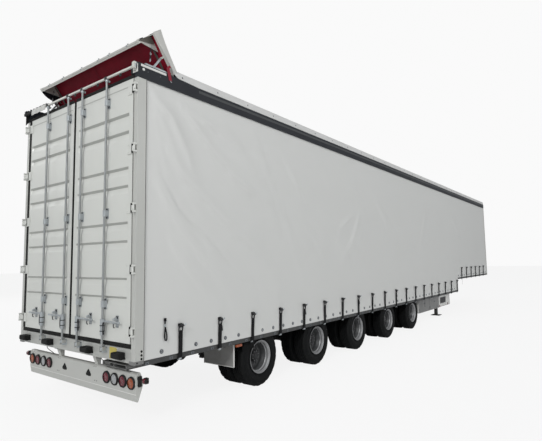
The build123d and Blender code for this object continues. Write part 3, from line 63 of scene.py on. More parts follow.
def shader(name, colour, rough, metal=0.0, second=0.0, spread=0.5, scale=3.0, rough_spread=0.08,
           bump=0.0, bump_scale=60.0, coat=0.0, detail=4.0, stretch=(1, 1, 1), shine=0.5):
    """Colour and roughness wander with two noises, and a third makes the bump."""
    m = bpy.data.materials.new(name)
    m.use_nodes = True
    nt = m.node_tree
    p = nt.nodes["Principled BSDF"]
    values = {"Base Color": tone(colour), "Metallic": metal, "Roughness": rough, "Specular IOR Level": shine}
    if coat:
        values |= {"Coat Weight": coat, "Coat Roughness": 0.15}
    for socket, value in values.items():
        p.inputs[socket].default_value = value
    where = nt.nodes.new("ShaderNodeTexCoord")
    place = nt.nodes.new("ShaderNodeMapping")
    place.inputs["Scale"].default_value = stretch
    nt.links.new(where.outputs["Object"], place.inputs["Vector"])

    def noise(size, fine, mix=0.5):
        node = nt.nodes.new("ShaderNodeTexNoise")
        for socket, value in (("Scale", size), ("Detail", fine), ("Roughness", mix)):
            node.inputs[socket].default_value = value
        nt.links.new(place.outputs["Vector"], node.inputs["Vector"])
        return node.outputs["Fac"]

    ramp = nt.nodes.new("ShaderNodeValToRGB")
    for stop, way, shade in zip(ramp.color_ramp.elements, (-1, 1), (second, colour)):
        stop.position = 0.5 + way * spread / 2
        stop.color = tone(shade)
    nt.links.new(noise(scale, detail, 0.6), ramp.inputs["Fac"])
    nt.links.new(ramp.outputs["Color"], p.inputs["Base Color"])
    span = nt.nodes.new("ShaderNodeMapRange")
    span.inputs["To Min"].default_value = max(0.02, rough - rough_spread)
    span.inputs["To Max"].default_value = min(1, rough + rough_spread)
    nt.links.new(noise(scale * 2.3, 3), span.inputs["Value"])
    nt.links.new(span.outputs["Result"], p.inputs["Roughness"])
    if bump:
        push = nt.nodes.new("ShaderNodeBump")
        push.inputs["Strength"].default_value = bump
        push.inputs["Distance"].default_value = 0.004
        nt.links.new(noise(bump_scale, 5), push.inputs["Height"])
        nt.links.new(push.outputs["Normal"], p.inputs["Normal"])
    return m


paint = shader("paint_offwhite", (0.590, 0.600, 0.570), 0.42, second=(0.555, 0.565, 0.535), spread=0.8,
               scale=0.8, bump=0.04, bump_scale=7, coat=0.1)
sill_paint = shader("paint_sill", (0.395, 0.400, 0.380), 0.42, second=(0.36, 0.365, 0.345), spread=0.8,
                    scale=1.1, coat=0.1)
post_paint = shader("paint_posts", (0.455, 0.460, 0.437), 0.42, second=(0.425, 0.430, 0.407), spread=0.8,
                    scale=1.1, bump=0.04, bump_scale=7, coat=0.1)
# darker copy of the door paint for the grooves' upper slopes and the leaf's fold line: painted shade
groove_painted_shade = shader("paint_groove_painted_shade", (0.40, 0.407, 0.385), 0.5, second=(0.35, 0.356, 0.335), spread=0.8, scale=1.4)
cream = shader("paint_cream", (0.60, 0.60, 0.565), 0.42, second=(0.51, 0.51, 0.475), scale=2.2, coat=0.1)
curtain_cloth = shader("curtain_pvc", (0.585, 0.590, 0.575), 0.44, second=(0.572, 0.577, 0.562), spread=0.9,
                       scale=0.3, detail=2, bump=0.03, bump_scale=260, rough_spread=0.05)
roof_cloth = shader("roof_pvc", (0.60, 0.60, 0.59), 0.5, second=(0.53, 0.53, 0.52), scale=1.5,
                    bump=0.05, bump_scale=240)
skirt_cloth = shader("skirt_pvc", (0.50, 0.50, 0.475), 0.5, second=(0.42, 0.42, 0.40), scale=3,
                     bump=0.05, bump_scale=240)
maroon = shader("lining_maroon", (0.30, 0.005, 0.024), 0.62, second=(0.17, 0.003, 0.013),
                scale=2.5, bump=0.08, bump_scale=180, shine=0.25)
black_rail = shader("rail_black", (0.012, 0.014, 0.018), 0.5, second=(0.020, 0.022, 0.027), scale=2, shine=0.22)
rail_groove = shader("rail_groove", (0.060, 0.064, 0.066), 0.5, second=(0.045, 0.048, 0.050), scale=2, shine=0.3)
grey_rail = shader("rail_grey", (0.20, 0.20, 0.195), 0.5, metal=0.3, second=(0.14, 0.14, 0.135), scale=3)
side_rail = shader("rail_side", (0.070, 0.071, 0.070), 0.5, metal=0.2, second=(0.035, 0.036, 0.036), scale=5)
chassis = shader("chassis_dark", (0.014, 0.014, 0.015), 0.6, second=(0.022, 0.021, 0.019), scale=4, shine=0.3)
zinc = shader("galvanised", (0.44, 0.47, 0.485), 0.42, metal=0.45, second=(0.30, 0.325, 0.34),
              scale=14, detail=6, bump=0.05, bump_scale=90)
rod_zinc = shader("rod_zinc", (0.33, 0.345, 0.345), 0.45, metal=0.35, second=(0.25, 0.265, 0.265), scale=9)
zinc_dark = shader("galvanised_worn", (0.17, 0.18, 0.19), 0.5, metal=0.5, second=(0.10, 0.11, 0.12), scale=20)
rubber = shader("rubber_black", 0.008, 0.7, second=(0.014, 0.014, 0.013), scale=6,
                bump=0.1, bump_scale=120, shine=0.2)
tyre_rubber = shader("tyre_rubber", (0.0035, 0.0040, 0.0045), 0.75, second=(0.0065, 0.0070, 0.0070),
                     scale=9, bump=0.12, bump_scale=150, shine=0.16)
silver = shader("rim_silver", (0.34, 0.345, 0.35), 0.40, metal=0.45, second=(0.25, 0.25, 0.255), scale=8)
# darker copy of the rim silver for the recessed barrel and disc: painted shade
rim_painted_shade = shader("rim_painted_shade", (0.105, 0.108, 0.110), 0.48, metal=0.3, second=(0.065, 0.066, 0.068), scale=9)
hub_dark = shader("hub_dark", (0.030, 0.030, 0.032), 0.5, metal=0.3, second=(0.017, 0.017, 0.018), scale=18)
web = shader("webbing_black", (0.006, 0.006, 0.007), 0.85, second=(0.012, 0.012, 0.013), scale=40,
             bump=0.3, bump_scale=400, shine=0.2)
boards = shader("floor_boards", (0.20, 0.125, 0.07), 0.6, second=(0.12, 0.07, 0.04), scale=2.5,
                stretch=(0.25, 8, 1), bump=0.1, bump_scale=20)
lens_red = shader("lens_red", (0.135, 0.003, 0.014), 0.2, second=(0.085, 0.002, 0.009), scale=45, coat=0.5,
                  bump=0.25, bump_scale=160)
lens_amber = shader("lens_amber", (0.31, 0.060, 0.008), 0.2, second=(0.22, 0.038, 0.005), scale=45, coat=0.5,
                    bump=0.25, bump_scale=160)
lens_clear = shader("lens_clear", (0.36, 0.37, 0.375), 0.18, second=(0.24, 0.25, 0.255), scale=45, coat=0.5,
                    bump=0.3, bump_scale=160)
lamp_black = shader("lamp_black", 0.008, 0.55, second=0.014, scale=12, shine=0.25)
flap_grey = shader("flap_grey", (0.27, 0.27, 0.265), 0.55, second=(0.20, 0.20, 0.195), scale=4)
locker_grey = shader("locker_grey", (0.215, 0.215, 0.212), 0.45, metal=0.2, second=(0.165, 0.165, 0.162), scale=2.5)
plate_yellow = shader("plate_yellow", (0.50, 0.42, 0.09), 0.45, second=(0.40, 0.33, 0.07), scale=20)
# dark brown-grey of the tail gusset, partly its colour and partly painted shade; the stiffeners use it too
gusset_brown_and_painted_shade = shader("gusset_brown_and_painted_shade", (0.115, 0.108, 0.094), 0.6, second=(0.080, 0.074, 0.064), scale=7)
strap_red = shader("strap_red", (0.24, 0.006, 0.022), 0.7, second=(0.17, 0.004, 0.014), scale=30,
                   bump=0.3, bump_scale=300)
white_edge = shader("edge_white", (0.66, 0.66, 0.64), 0.5, second=(0.58, 0.58, 0.56), scale=5)


# Small mesh builders, all sizes in millimetres
class Build:
    def __init__(self):
        self.v, self.f, self.m, self.n = [], [], [], 0

    def put(self, verts, faces, mat=0):
        self.v.append(np.asarray(verts, float).reshape(-1, 3))
        self.f += [tuple(i + self.n for i in face) for face in faces]
        self.m += [mat] * len(faces)
        self.n += len(self.v[-1])

    def box(self, x, y, z, mat=0):
        x, y, z = sorted(x), sorted(y), sorted(z)
        c = [(x[i], y[j], z[k]) for i in (0, 1) for j in (0, 1) for k in (0, 1)]
        self.put(c, [(0, 1, 3, 2), (4, 6, 7, 5), (0, 4, 5, 1), (2, 3, 7, 6), (0, 2, 6, 4), (1, 5, 7, 3)], mat)

    def prism(self, axis, outline, a, b, mat=0):
        """A flat outline carried along an axis: for x it is (Y, Z), for y (X, Z), for z (X, Y)."""
        n = len(outline)
        order = {"x": lambda p, t: (t, p[0], p[1]), "y": lambda p, t: (p[0], t, p[1]),
                 "z": lambda p, t: (p[0], p[1], t)}[axis]
        area = sum(outline[i][0] * outline[(i + 1) % n][1] - outline[(i + 1) % n][0] * outline[i][1]
                   for i in range(n))
        if (area > 0) == (axis == "y"):
            outline = outline[::-1]
        a, b = min(a, b), max(a, b)
        verts = [order(p, a) for p in outline] + [order(p, b) for p in outline]
        faces = [tuple(range(n))[::-1], tuple(range(n, 2 * n))]
        faces += [(i, (i + 1) % n, n + (i + 1) % n, n + i) for i in range(n)]
        self.put(verts, faces, mat)

    def lathe(self, centre, axis, profile, seg=32, mat=0, closed=True, start=0.0, ease=None):
        """A profile of (distance along the axis, radius) turned about it."""
        axis = Vector(axis).normalized()
        side = axis.orthogonal().normalized()
        up = axis.cross(side)
        a, s, u, c = (np.array(w) for w in (axis, side, up, Vector(centre)))
        prof = np.asarray(profile, float)
        k, n = len(prof), seg
        turn = start + np.arange(n) * 2 * pi / n
        rr = prof[:, 1][None, :] * np.ones((n, 1))
        if ease is not None:
            rr = ease(rr, prof, turn)
        pts = (c + prof[:, 0][None, :, None] * a
               + rr[:, :, None] * (np.cos(turn)[:, None, None] * s + np.sin(turn)[:, None, None] * u))
        faces = []
        for i in range(n):
            j = (i + 1) % n
            for q in range(k if closed else k - 1):
                r = (q + 1) % k
                faces.append((i * k + q, i * k + r, j * k + r, j * k + q))
        self.put(pts.reshape(-1, 3), faces, mat)

    def knob(self, centre, axis, profile, seg=16, mat=0):
        """A turned solid whose profile is closed at the axis on both ends."""
        self.lathe(centre, axis, [(profile[0][0], 0.4), *profile, (profile[-1][0], 0.4)], seg, mat)

    def rod(self, p0, p1, r, seg=12, mat=0):
        self.tube([p0, p1], r, seg, mat)

    def pair(self, x, y, z, mat=0):
        """The same block at the right and the left."""
        for _, side in SIDES:
            self.box(x, (side * y[0], side * y[1]), z, mat)

    def tube(self, points, r, seg=8, mat=0, closed=False):
        """A round bar along a path of points."""
        pts = [Vector(p) for p in points]
        n = len(pts)
        side = None
        rings = []
        for i, p in enumerate(pts):
            back = pts[i - 1] if (i or closed) else p
            ahead = pts[(i + 1) % n] if (i < n - 1 or closed) else p
            t = (ahead - back).normalized()
            side = t.orthogonal() if side is None else side - t * side.dot(t)
            side.normalize()
            up = t.cross(side)
            rings.append([tuple(p + (side * cos(a) + up * sin(a)) * r) for a in np.arange(seg) * 2 * pi / seg])
        faces = []
        for i in range(n if closed else n - 1):
            j = (i + 1) % n
            faces += [(i * seg + a, i * seg + (a + 1) % seg, j * seg + (a + 1) % seg, j * seg + a)
                      for a in range(seg)]
        if not closed:
            faces += [tuple(range(seg))[::-1], tuple(range((n - 1) * seg, n * seg))]
        self.put([v for ring in rings for v in ring], faces, mat)

    def band(self, points, width, thick, across, mat=0):
        """Flat webbing along a path: width lies along across."""
        pts = [Vector(p) for p in points]
        across = Vector(across).normalized()
        verts, n = [], len(pts)
        for i, p in enumerate(pts):
            t = (pts[min(i + 1, n - 1)] - pts[max(i - 1, 0)]).normalized()
            out = t.cross(across).normalized() * thick / 2
            w = across * width / 2
            verts += [tuple(p - w - out), tuple(p + w - out), tuple(p + w + out), tuple(p - w + out)]
        faces = []
        for i in range(n - 1):
            faces += [(4 * i + a, 4 * i + (a + 1) % 4, 4 * i + 4 + (a + 1) % 4, 4 * i + 4 + a) for a in range(4)]
        faces += [(3, 2, 1, 0), tuple(4 * (n - 1) + a for a in range(4))]
        self.put(verts, faces, mat)

    def bolt(self, centre, axis, r=7, high=5, mat=0):
        centre = Vector(centre)
        self.rod(centre, centre + Vector(axis).normalized() * high, r, 6, mat)


def soften(o, width):
    mod = o.modifiers.new("edges", "BEVEL")
    mod.width, mod.segments, mod.limit_method = width * MM, 2, "ANGLE"
    mod.angle_limit = radians(30)
    mod.harden_normals = True


def at(x, y, outline):
    """A flat outline moved to a place."""
    return [(x + u, y + v) for u, v in outline]


def over(side, points):
    """Points of the left side, laid out at the given side."""
    return [(x, side * y, z) for x, y, z in points]


def make(name, b, mats, body="root", replaces=(), angle=32, bevel=0.0):
    mesh = bpy.data.meshes.new(name)
    mesh.from_pydata((np.concatenate(b.v) * MM).tolist(), [], b.f)
    for m in mats if isinstance(mats, (list, tuple)) else [mats]:
        mesh.materials.append(m)
    mesh.polygons.foreach_set("material_index", b.m)
    mesh.polygons.foreach_set("use_smooth", [True] * len(mesh.polygons))
    mesh.update()
    mesh.set_sharp_from_angle(angle=radians(angle))
    o = bpy.data.objects.new(name, mesh)
    bpy.context.scene.collection.objects.link(o)
    if bevel:
        soften(o, bevel)
    if body:
        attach(o, body)
    if replaces:
        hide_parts(*replaces)
    return o


# CAD nodes that stay in view: their finish, and how far their edges are softened
FINISH = {
    "chassis_beams": (chassis, 3), "cross_members": (chassis, 0), "load_floor": (boards, 0),
    "side_rails": (side_rail, 2), "rear_posts": (post_paint, 4), "rear_sill": (sill_paint, 4), "buffers": (rubber, 6),
    "post_hinges": (paint, 2), "roof_rails": (black_rail, 4), "side_pillars": (grey_rail, 0),
    "roof_bows": (grey_rail, 0), "bow_carriages": (zinc, 0), "door_left_seal": (rubber, 4),
    "door_right_seal": (rubber, 4), "lamp_bar": (post_paint, 6), "axles": (chassis, 4), "trailing_arms": (chassis, 4),
    "air_springs": (rubber, 0), "mudflaps": (flap_grey, 2), "side_lockers": (white_edge, 8),
    "landing_legs": (grey_rail, 4), "coupler": (chassis, 0), "tail_frame": (cream, 2.5), "tail_stays": (zinc, 0),
}
for name, (look, edge) in FINISH.items():
    node = NODES[name]
    node.data.materials.clear()
    node.data.materials.append(look)
    if edge:
        node.modifiers.new("joined", "WELD").merge_threshold = 0.00005
        soften(node, edge)

# Twin wheels: round tyres with tread, pressed rims with nuts
AXLE_X = [REAR + 2131 + 1520 * i for i in range(5)]
AXLE_Z = 405 * cos(pi / 16)
TREAD_R = AXLE_Z - 0.3
TYRE_FACE, TWIN_GAP, TYRE_MIDDLE, TREAD_HALF = 1225, 265, 116.5, 72
SEG = 88


def tyre_profile():
    outer = [(28, 224), (16, 232), (8, 246), (2, 275), (0, 305), (2, 332), (9, 355), (17, 372), (24, 383)]
    rows = [(27, 390), (30, TREAD_R - 2), (34, TREAD_R)]
    grooves = []
    for centre in (62, 98, 135, 171):
        grooves += [(centre - 7, TREAD_R), (centre - 4, TREAD_R - 11), (centre + 4, TREAD_R - 11),
                    (centre + 7, TREAD_R)]
    far = [(233 - a, r) for a, r in (rows[::-1] + outer[::-1])]
    return [(-a, r) for a, r in outer + rows + grooves + far]


def tread_blocks(rr, prof, turn):
    out = rr.copy()
    edge = (np.abs(prof[:, 0] + TYRE_MIDDLE) > TREAD_HALF) & (prof[:, 1] > 386)
    notch = (np.arange(len(turn)) % 4 == 0)
    out[np.ix_(notch, edge)] -= 7
    inner = (np.abs(prof[:, 0] + TYRE_MIDDLE) <= TREAD_HALF) & (prof[:, 1] > TREAD_R - 1)
    sipe = (np.arange(len(turn)) % 4 == 2)
    out[np.ix_(sipe, inner)] -= 3.5
    return out


def wheel(place, side, word):
    x = AXLE_X[place - 1]
    body = f"wheel_{place}_{word}"
    axis = (0, side, 0)
    b = Build()
    for inset in (0, TWIN_GAP):
        middle = (x, side * (TYRE_FACE - inset), AXLE_Z)
        b.lathe(middle, axis, tyre_profile(), SEG, 0, True, 0.3 * place, tread_blocks)
        for r in (246, 318, 344):
            b.lathe(middle, axis, [(-3, r - 3), (1.2 if r < 340 else -1.5, r), (-3, r + 3), (-12, r)], SEG, 0, True)
    make(f"tyre_pair_{place}_{word}", b, tyre_rubber, body, [f"tyres_{place}_{word}"], 28)

    def spot(radius, turn, depth):
        return Vector((x + radius * cos(turn), side * (TYRE_FACE - depth), AXLE_Z + radius * sin(turn)))

    r = Build()
    centre = (x, side * TYRE_FACE, AXLE_Z)
    outward = Vector((0, side, 0))
    # outer rim: flange, stepped well and dished disc, then its drop ring
    outer = [(-14, 221), (-10, 226), (-7, 225), (-7, 219), (-12, 212), (-24, 206), (-30, 200), (-52, 197),
             (-58, 190), (-92, 187), (-104, 180), (-160, 171), (-172, 160), (-176, 146), (-170, 118),
             (-163, 104), (-163, 60), (-190, 60), (-195, 180), (-230, 206), (-232, 221)]
    r.lathe(centre, axis, outer[:8] + [(-70, 200), (-40, 214), (-20, 216)], 72, 0)
    r.lathe(centre, axis, [(-50, 199), (-60, 196), (-63, 190), (-70, 187), (-74, 192), (-72, 202)], 72, 0)
    # barrel and disc in the darker rim grey: painted shade of the rim's hollow
    r.lathe(centre, axis, [(-64, 190)] + outer[9:], 72, 2)
    inner = [(-266, 221), (-262, 226), (-259, 221), (-268, 210), (-320, 196), (-420, 190), (-470, 206),
             (-486, 221), (-492, 226), (-492, 216), (-470, 195), (-440, 180), (-300, 176), (-286, 60),
             (-250, 60), (-250, 206)]
    r.lathe(centre, axis, inner, 56, 0)
    r.lathe(centre, axis, [(-300, 60), (-300, 178), (-485, 178), (-490, 170), (-490, 46), (-300, 46)], 40, 1)
    # hand holes as dark slots between disc and barrel: dark discs as painted shade where the holes are not cut
    for i in range(10):
        t = i * 2 * pi / 10 + 0.31
        r.lathe(spot(148, t, 168), (0.15 * cos(t), side, 0.15 * sin(t)),
                [(0.0, 0.5), (1.2, 11), (-3, 13), (-6, 0.5)], 14, 1)
    # hub: flange, barrel and cap
    r.lathe(centre, axis, [(-164, 0.5), (-158, 96), (-150, 96), (-146, 80), (-118, 76), (-104, 70),
                           (-98, 58), (-96, 50), (-88, 46), (-85, 30), (-84, 0.5)], 40, 1)
    for i in range(10):
        p = spot(112, i * 2 * pi / 10, 166)
        r.rod(p, p + outward * 24, 13, 6, 0)
        r.rod(p + outward * 24, p + outward * 34, 8, 8, 1)
    for i in range(8):
        p = spot(63, (i + 0.5) * 2 * pi / 8, 104)
        r.rod(p, p + outward * 8, 5, 6, 0)
    valve = spot(190, 1.2, 60)
    r.rod(valve, valve + Vector((-14, side * 34, -24)), 5, 8, 1)
    make(f"rim_pair_{place}_{word}", r, [silver, hub_dark, rim_painted_shade], body,
         [f"rims_{place}_{word}"], 30)


for place in range(1, 6):
    for word, side in DOOR_SIDES:
        wheel(place, side, word)


# Cloth: a grid of points, closed into a thin sheet with its own underside
def cloth(name, grid, thick, mats, body, replaces=(),
          hole=None, out=(0, 0, 1)):
    """grid is rows x columns x 3 in millimetres. Its outer face looks along out, its lining lies behind."""
    rows, cols, _ = grid.shape
    normal = np.cross(np.gradient(grid, axis=1), np.gradient(grid, axis=0))
    if (normal * np.array(out)).sum() < 0:
        grid, normal = grid[:, ::-1], -normal[:, ::-1]
        hole = None if hole is None else hole[:, ::-1]
    normal /= np.linalg.norm(normal, axis=2, keepdims=True) + 1e-9
    under = grid - normal * thick
    b = Build()
    keep = np.ones((rows - 1, cols - 1), bool) if hole is None else ~hole
    top = [(r * cols + c, r * cols + c + 1, (r + 1) * cols + c + 1, (r + 1) * cols + c)
           for r in range(rows - 1) for c in range(cols - 1) if keep[r, c]]
    count = rows * cols
    edges = {(face[k], face[(k + 1) % 4]) for face in top for k in range(4)}
    rim = [(a, a + count, e + count, e) for a, e in sorted(edges) if (e, a) not in edges]
    below = [tuple(i + count for i in face[::-1]) for face in top]
    b.put(np.concatenate([grid.reshape(-1, 3), under.reshape(-1, 3)]), top + below + rim)
    b.m = [0] * len(top) + [1] * len(below) + [0] * len(rim)
    used = np.zeros(2 * count, bool)
    used[np.unique(np.concatenate([np.array(f) for f in b.f]))] = True
    order = np.cumsum(used) - 1
    b.v = [np.concatenate(b.v)[used]]
    b.f = [tuple(int(order[i]) for i in f) for f in b.f]
    o = make(name, b, mats, body, replaces, 60)
    return o


def bell(t, width):
    return np.exp(-(t / width) ** 2)


def ridge(t, width):
    """A fold with a soft back and a sharper front."""
    return np.where(t > 0, np.exp(-(t / width) ** 2), np.exp(-(t / (2.2 * width)) ** 2))


# Side curtains: pulled taut between the rail and the straps, with folds from the corner
STRAP_X = [REAR + 610 + 644 * i for i in range(25)]
X0, X1, XSTEP = -8213.5, 8359.5, 4047
Z0, ZHIGH, Z1 = 714, 1106, 3799.5
CLOTH_Y, CREST_MAX, DIP_MAX = 1262.5, 27, 3.5


# Folds seen in the cloth: half width, height, and points (X, Z) along the crest
FOLDS = [
    (40, 25, [(-8180, 3640), (-7860, 3400), (-7620, 3040), (-7480, 2780)]),
    (46, 29, [(-7700, 3560), (-7590, 3490), (-7220, 3160), (-6800, 2890), (-6510, 2740), (-6200, 2600)]),
    (35, 17, [(-7600, 3570), (-7340, 3490), (-7060, 3420), (-6800, 3300)]),
    (48, 26, [(-7900, 3000), (-7700, 2780), (-7190, 2410), (-6800, 2150), (-6410, 1950), (-6150, 1840)]),
    (51, -22, [(-7980, 2750), (-7720, 2390), (-7190, 2020), (-6700, 1640), (-6240, 1330)]),
    (48, 22, [(-8100, 2640), (-7800, 2240), (-7370, 1810), (-6980, 1450)]),
    (43, 14, [(-7850, 1940), (-7540, 1600), (-7240, 1330)]),
    (42, 16, [(-6560, 1830), (-6420, 1800), (-6280, 1840)]),
    (48, 19, [(-3350, 2580), (-3850, 2320), (-4000, 2090)]),
    (53, 19, [(-3040, 2600), (-3380, 2070), (-3820, 1710)]),
    (56, 14, [(-5600, 3300), (-5200, 2900), (-4700, 2650)]),
    (64, 14, [(-5000, 2300), (-4600, 2000), (-4300, 1600)]),
    (64, 12, [(-2200, 3000), (-1700, 2600), (-1300, 2000)]),
    (72, 12, [(1200, 3100), (800, 2500), (500, 1900)]),
    (72, 14, [(3600, 3200), (4200, 2700), (4900, 2300)]),
]


def fold(x, z, points, width, high):
    """A crest along a line of points, sharper below than above, running out at both ends."""
    best = np.full(x.shape, 1e9)
    sign = np.ones(x.shape)
    place = np.zeros(x.shape)
    steps = [np.hypot(q[0] - p[0], q[1] - p[1]) for p, q in zip(points, points[1:])]
    whole, gone = sum(steps), 0.0
    for (p, q), step in zip(zip(points, points[1:]), steps):
        dx, dz = (q[0] - p[0]) / step, (q[1] - p[1]) / step
        t = np.clip(((x - p[0]) * dx + (z - p[1]) * dz) / step, 0, 1)
        away = np.hypot(x - p[0] - t * dx * step, z - p[1] - t * dz * step)
        side = (x - p[0]) * dz - (z - p[1]) * dx
        near = away < best
        best = np.where(near, away, best)
        sign = np.where(near, side, sign)
        place = np.where(near, gone + t * step, place)
        gone += step
    wide = width * (0.75 + 0.6 * place / whole)
    soft = np.sqrt(best ** 2 + 45 ** 2) - 45
    body = np.where(sign > 0, np.exp(-(best / wide) ** 2), np.exp(-soft / (1.4 * wide)))
    ends = np.clip(0.25 + place / 400, 0, 1) * np.clip(0.1 + (whole - place) / 500, 0, 1)
    return high * body * ends


def curtain_relief(x, z, seed):
    """How far the cloth stands out from its plane."""
    pick = np.random.default_rng(seed)
    out = np.zeros_like(x)
    drop, along = Z1 - z, x - X0
    slant = np.arctan2(drop, along + 1)
    reach = np.hypot(drop, along)
    for centre, width, high, near, far in (
        (80, 45, 4, 500, 2300), (72, 55, 8, 450, 3000), (64, 60, 10, 450, 3300), (30, 60, 7, 1300, 4700),
        (22, 60, 7, 1500, 5200), (15.5, 50, 4, 2200, 6000),
    ):
        fade = np.clip(reach / near, 0, 1) ** 1.5 * np.exp(-np.clip(reach - far, 0, None) / 800)
        bend = radians(2.2) * np.sin(reach / 900 + centre) + radians(5.0) * np.clip(reach / 3000, 0, 1.5) ** 2
        across = (slant - radians(centre) + bend) * reach
        out += high * ridge(across, width + 0.018 * reach) * fade
    for width, high, points in FOLDS:
        out += fold(x, z, points, width, high)

    def turned(lean):
        return (x - cx) * sin(lean) + (z - cz) * cos(lean), (x - cx) * cos(lean) - (z - cz) * sin(lean)

    for i in range(30):
        cx, cz = pick.uniform(X0 + 1200, X1), pick.uniform(1100, 3600)
        across, run = turned(radians(pick.uniform(34, 62)))
        span = pick.uniform(500, 1400)
        bow = 60 * np.sin(run / 500 + i)
        near = np.clip(1.25 - (cx - X0) / 14000, 0.3, 1)
        out += pick.uniform(3, 9) * near * ridge(across + bow, pick.uniform(60, 150)) * bell(run, span)
    for _ in range(30):
        cx, cz = pick.uniform(X0 + 800, X1), pick.uniform(900, 3500)
        across, run = turned(-radians(pick.uniform(-25, 25)))
        out += pick.uniform(0.8, 2.2) * bell(across, pick.uniform(40, 100)) * bell(run, pick.uniform(300, 800))
    for sx in STRAP_X:
        foot = ZHIGH if sx > XSTEP else Z0
        rise = np.clip(z - foot - 300, 0, None)
        spread = 60 + 0.35 * rise
        out += 3.2 * np.cos((x - sx) / (0.45 * spread + 18)) * bell(x - sx, 1.5 * spread) * np.exp(-rise / 420)
    out += 1.6 * np.sin(x / 610 + 0.8 * np.sin(z / 900))
    edge = np.clip((Z1 - z) / 160, 0, 1) * np.clip((x - X0) / 120, 0, 1) * np.clip((X1 - x) / 120, 0, 1)
    foot = np.where(x > XSTEP, ZHIGH, Z0)
    edge *= np.clip((z - foot) / 180 + 0.25, 0, 1)
    return (out - 4.0) * edge


def curtain(word, side, seed):
    cols = np.concatenate([np.linspace(X0, -5500, 171), np.linspace(-5500, XSTEP, 196)[1:],
                           np.linspace(XSTEP, X1, 66)[1:]])
    rows = np.concatenate([np.linspace(Z1, ZHIGH, 86), np.linspace(ZHIGH, Z0, 12)[1:]])
    x, z = np.meshgrid(cols, rows)
    relief = curtain_relief(x, z, seed)
    most = np.where(relief > 0, CREST_MAX, DIP_MAX)
    y = CLOTH_Y + most * np.tanh(relief / most)
    hem = np.where(x > XSTEP, ZHIGH, Z0)
    y += 1.2 * ((z - hem) < 42)
    grid = np.stack([x, side * y, z], axis=2)
    keep_x = (grid[:-1, :-1, 0] + grid[:-1, 1:, 0]) / 2
    keep_z = (grid[:-1, :-1, 2] + grid[1:, :-1, 2]) / 2
    hole = (keep_x > XSTEP) & (keep_z < ZHIGH)
    return cloth(f"curtain_cloth_{word}", grid, 2.0, [curtain_cloth, flap_grey], "root",
                 [f"curtain_{word}"], hole,
                 out=(0, side, 0))


curtain("right", -1, 11)
curtain("left", 1, 23)

# Eyelets along the foot of the curtains
for word, side in SIDES:
    b = Build()
    x = X0 + 240
    while x < X1 - 60:
        foot = ZHIGH if x > XSTEP + 30 else Z0
        if abs(x - XSTEP) > 60 and min(abs(x - sx) for sx in STRAP_X) > 42:
            place = (x, side * 1266.6, foot + 58)
            b.lathe(place, (0, side, 0), [(-5, 12), (-5, 25), (0.4, 24), (2.4, 20), (1.8, 15), (-2, 12)], 20, 0)
            # a dark disc fills the eyelet's hole, which the cloth lacks: painted shade
            b.lathe(place, (0, side, 0), [(-4, 0.4), (-1.5, 0.4), (-1.5, 13), (-4, 13)], 12, 1)
            b.tube(over(side, [(x, 1265, foot + 70), (x, 1270, foot + 60), (x, 1267, foot + 46)]), 4, 6, 2)
        x += 252
    make(f"curtain_eyelets_{word}", b, [zinc_dark, rubber, zinc], "root")

# Straps: buckle with lever above, webbing down to a hook on the side rail
STRAP_Y, STRAP_TALL = 1268, 384
pick = np.random.default_rng(5)
for word, side in SIDES:
    b = Build()
    for i, sx in enumerate(STRAP_X):
        low = HIGH_RAIL if sx > XSTEP else LOW_RAIL
        top = low + STRAP_TALL
        sway = pick.uniform(-6, 6)

        def band(points, width, thick, across=(1, 0, 0), mat=0):
            b.band([(sx + dx, side * (STRAP_Y + out), z) for dx, out, z in points], width, thick, across, mat)

        def plate(outline, x0, x1, mat):
            b.prism("x", [(side * (STRAP_Y + out), z) for out, z in outline], sx + x0, sx + x1, mat)

        # patch on the curtain, and the buckle frame right below it
        band([(0, 4, top - 2), (0, 7, top - 22), (0, 12, top - 44)], 50, 4)
        plate([(1.5, top - 30), (5, top - 30), (5, top + 4), (1.5, top + 4)], -29, 29, 0)
        for s in (-1, 1):
            plate([(6, top - 66), (9, top - 24), (24, top - 12), (29, top - 34), (19, top - 86), (8, top - 88)],
                  *sorted((s * 25, s * 29)), 1)
        for out, drop in ((14, 78), (15, 36)):
            b.rod(*[(sx + s * 28, side * (STRAP_Y + out), top - drop) for s in (-1, 1)], 5, 8, 1)
        lift = pick.uniform(0.1, 1.0)
        raised = top + 22 * lift
        plate([(14, top - 14), (27 + 6 * lift, top - 2 + 6 * lift), (44 + 8 * lift, raised - 36),
               (42 + 8 * lift, raised - 46), (26 + 4 * lift, top - 18 + 6 * lift), (16, top - 34)], -23, 23, 1)
        band([(10, 24, top - 20), (30, 38, top - 30 + 10 * lift), (52, 46, top - 16 + 16 * lift)], 16, 7,
             (0, 1, 1), 2)
        # doubled webbing below the buckle, and a flat hook under the rail's edge
        band([(0, 13, top - 80), (sway * 0.3, 9, top - 140), (sway, 6, top - 230), (sway * 0.6, 5, low + 40),
              (0, 2, low - 2)], 52, 4)
        band([(2, 18, top - 80), (sway * 0.3 + 3, 14, top - 150), (sway + 2, 11, top - 260),
              (sway * 0.6 + 2, 9, low + 34), (0, 5, low + 6)], 50, 3)
        plate([(-3, low + 12), (5, low + 12), (7, low - 8), (2, low - 17), (-16, low - 17), (-19, low - 8),
               (-15, low - 10), (-2, low - 11), (-1, low + 4)], -21, 21, 2)
        # loose ends
        if i in (2, 7, 13, 19):
            band([(8 + 5 * sin(k / 2), 6 + 2 * sin(k), low + 20 - 34 * k) for k in range(7)], 25, 2.5, (1, 0.15, 0))
        if i % 3 == 1:
            band([(24 + 3 * k, 8 + 4 * sin(k / 2), top - 96 - 24 * k) for k in range(4)], 30, 2.5,
                 (1, 0.2 * side, 0.1))
    make(f"strap_row_{word}", b, [web, hub_dark, zinc], "root",
         ["curtain_straps"] if side < 0 else (), 32)

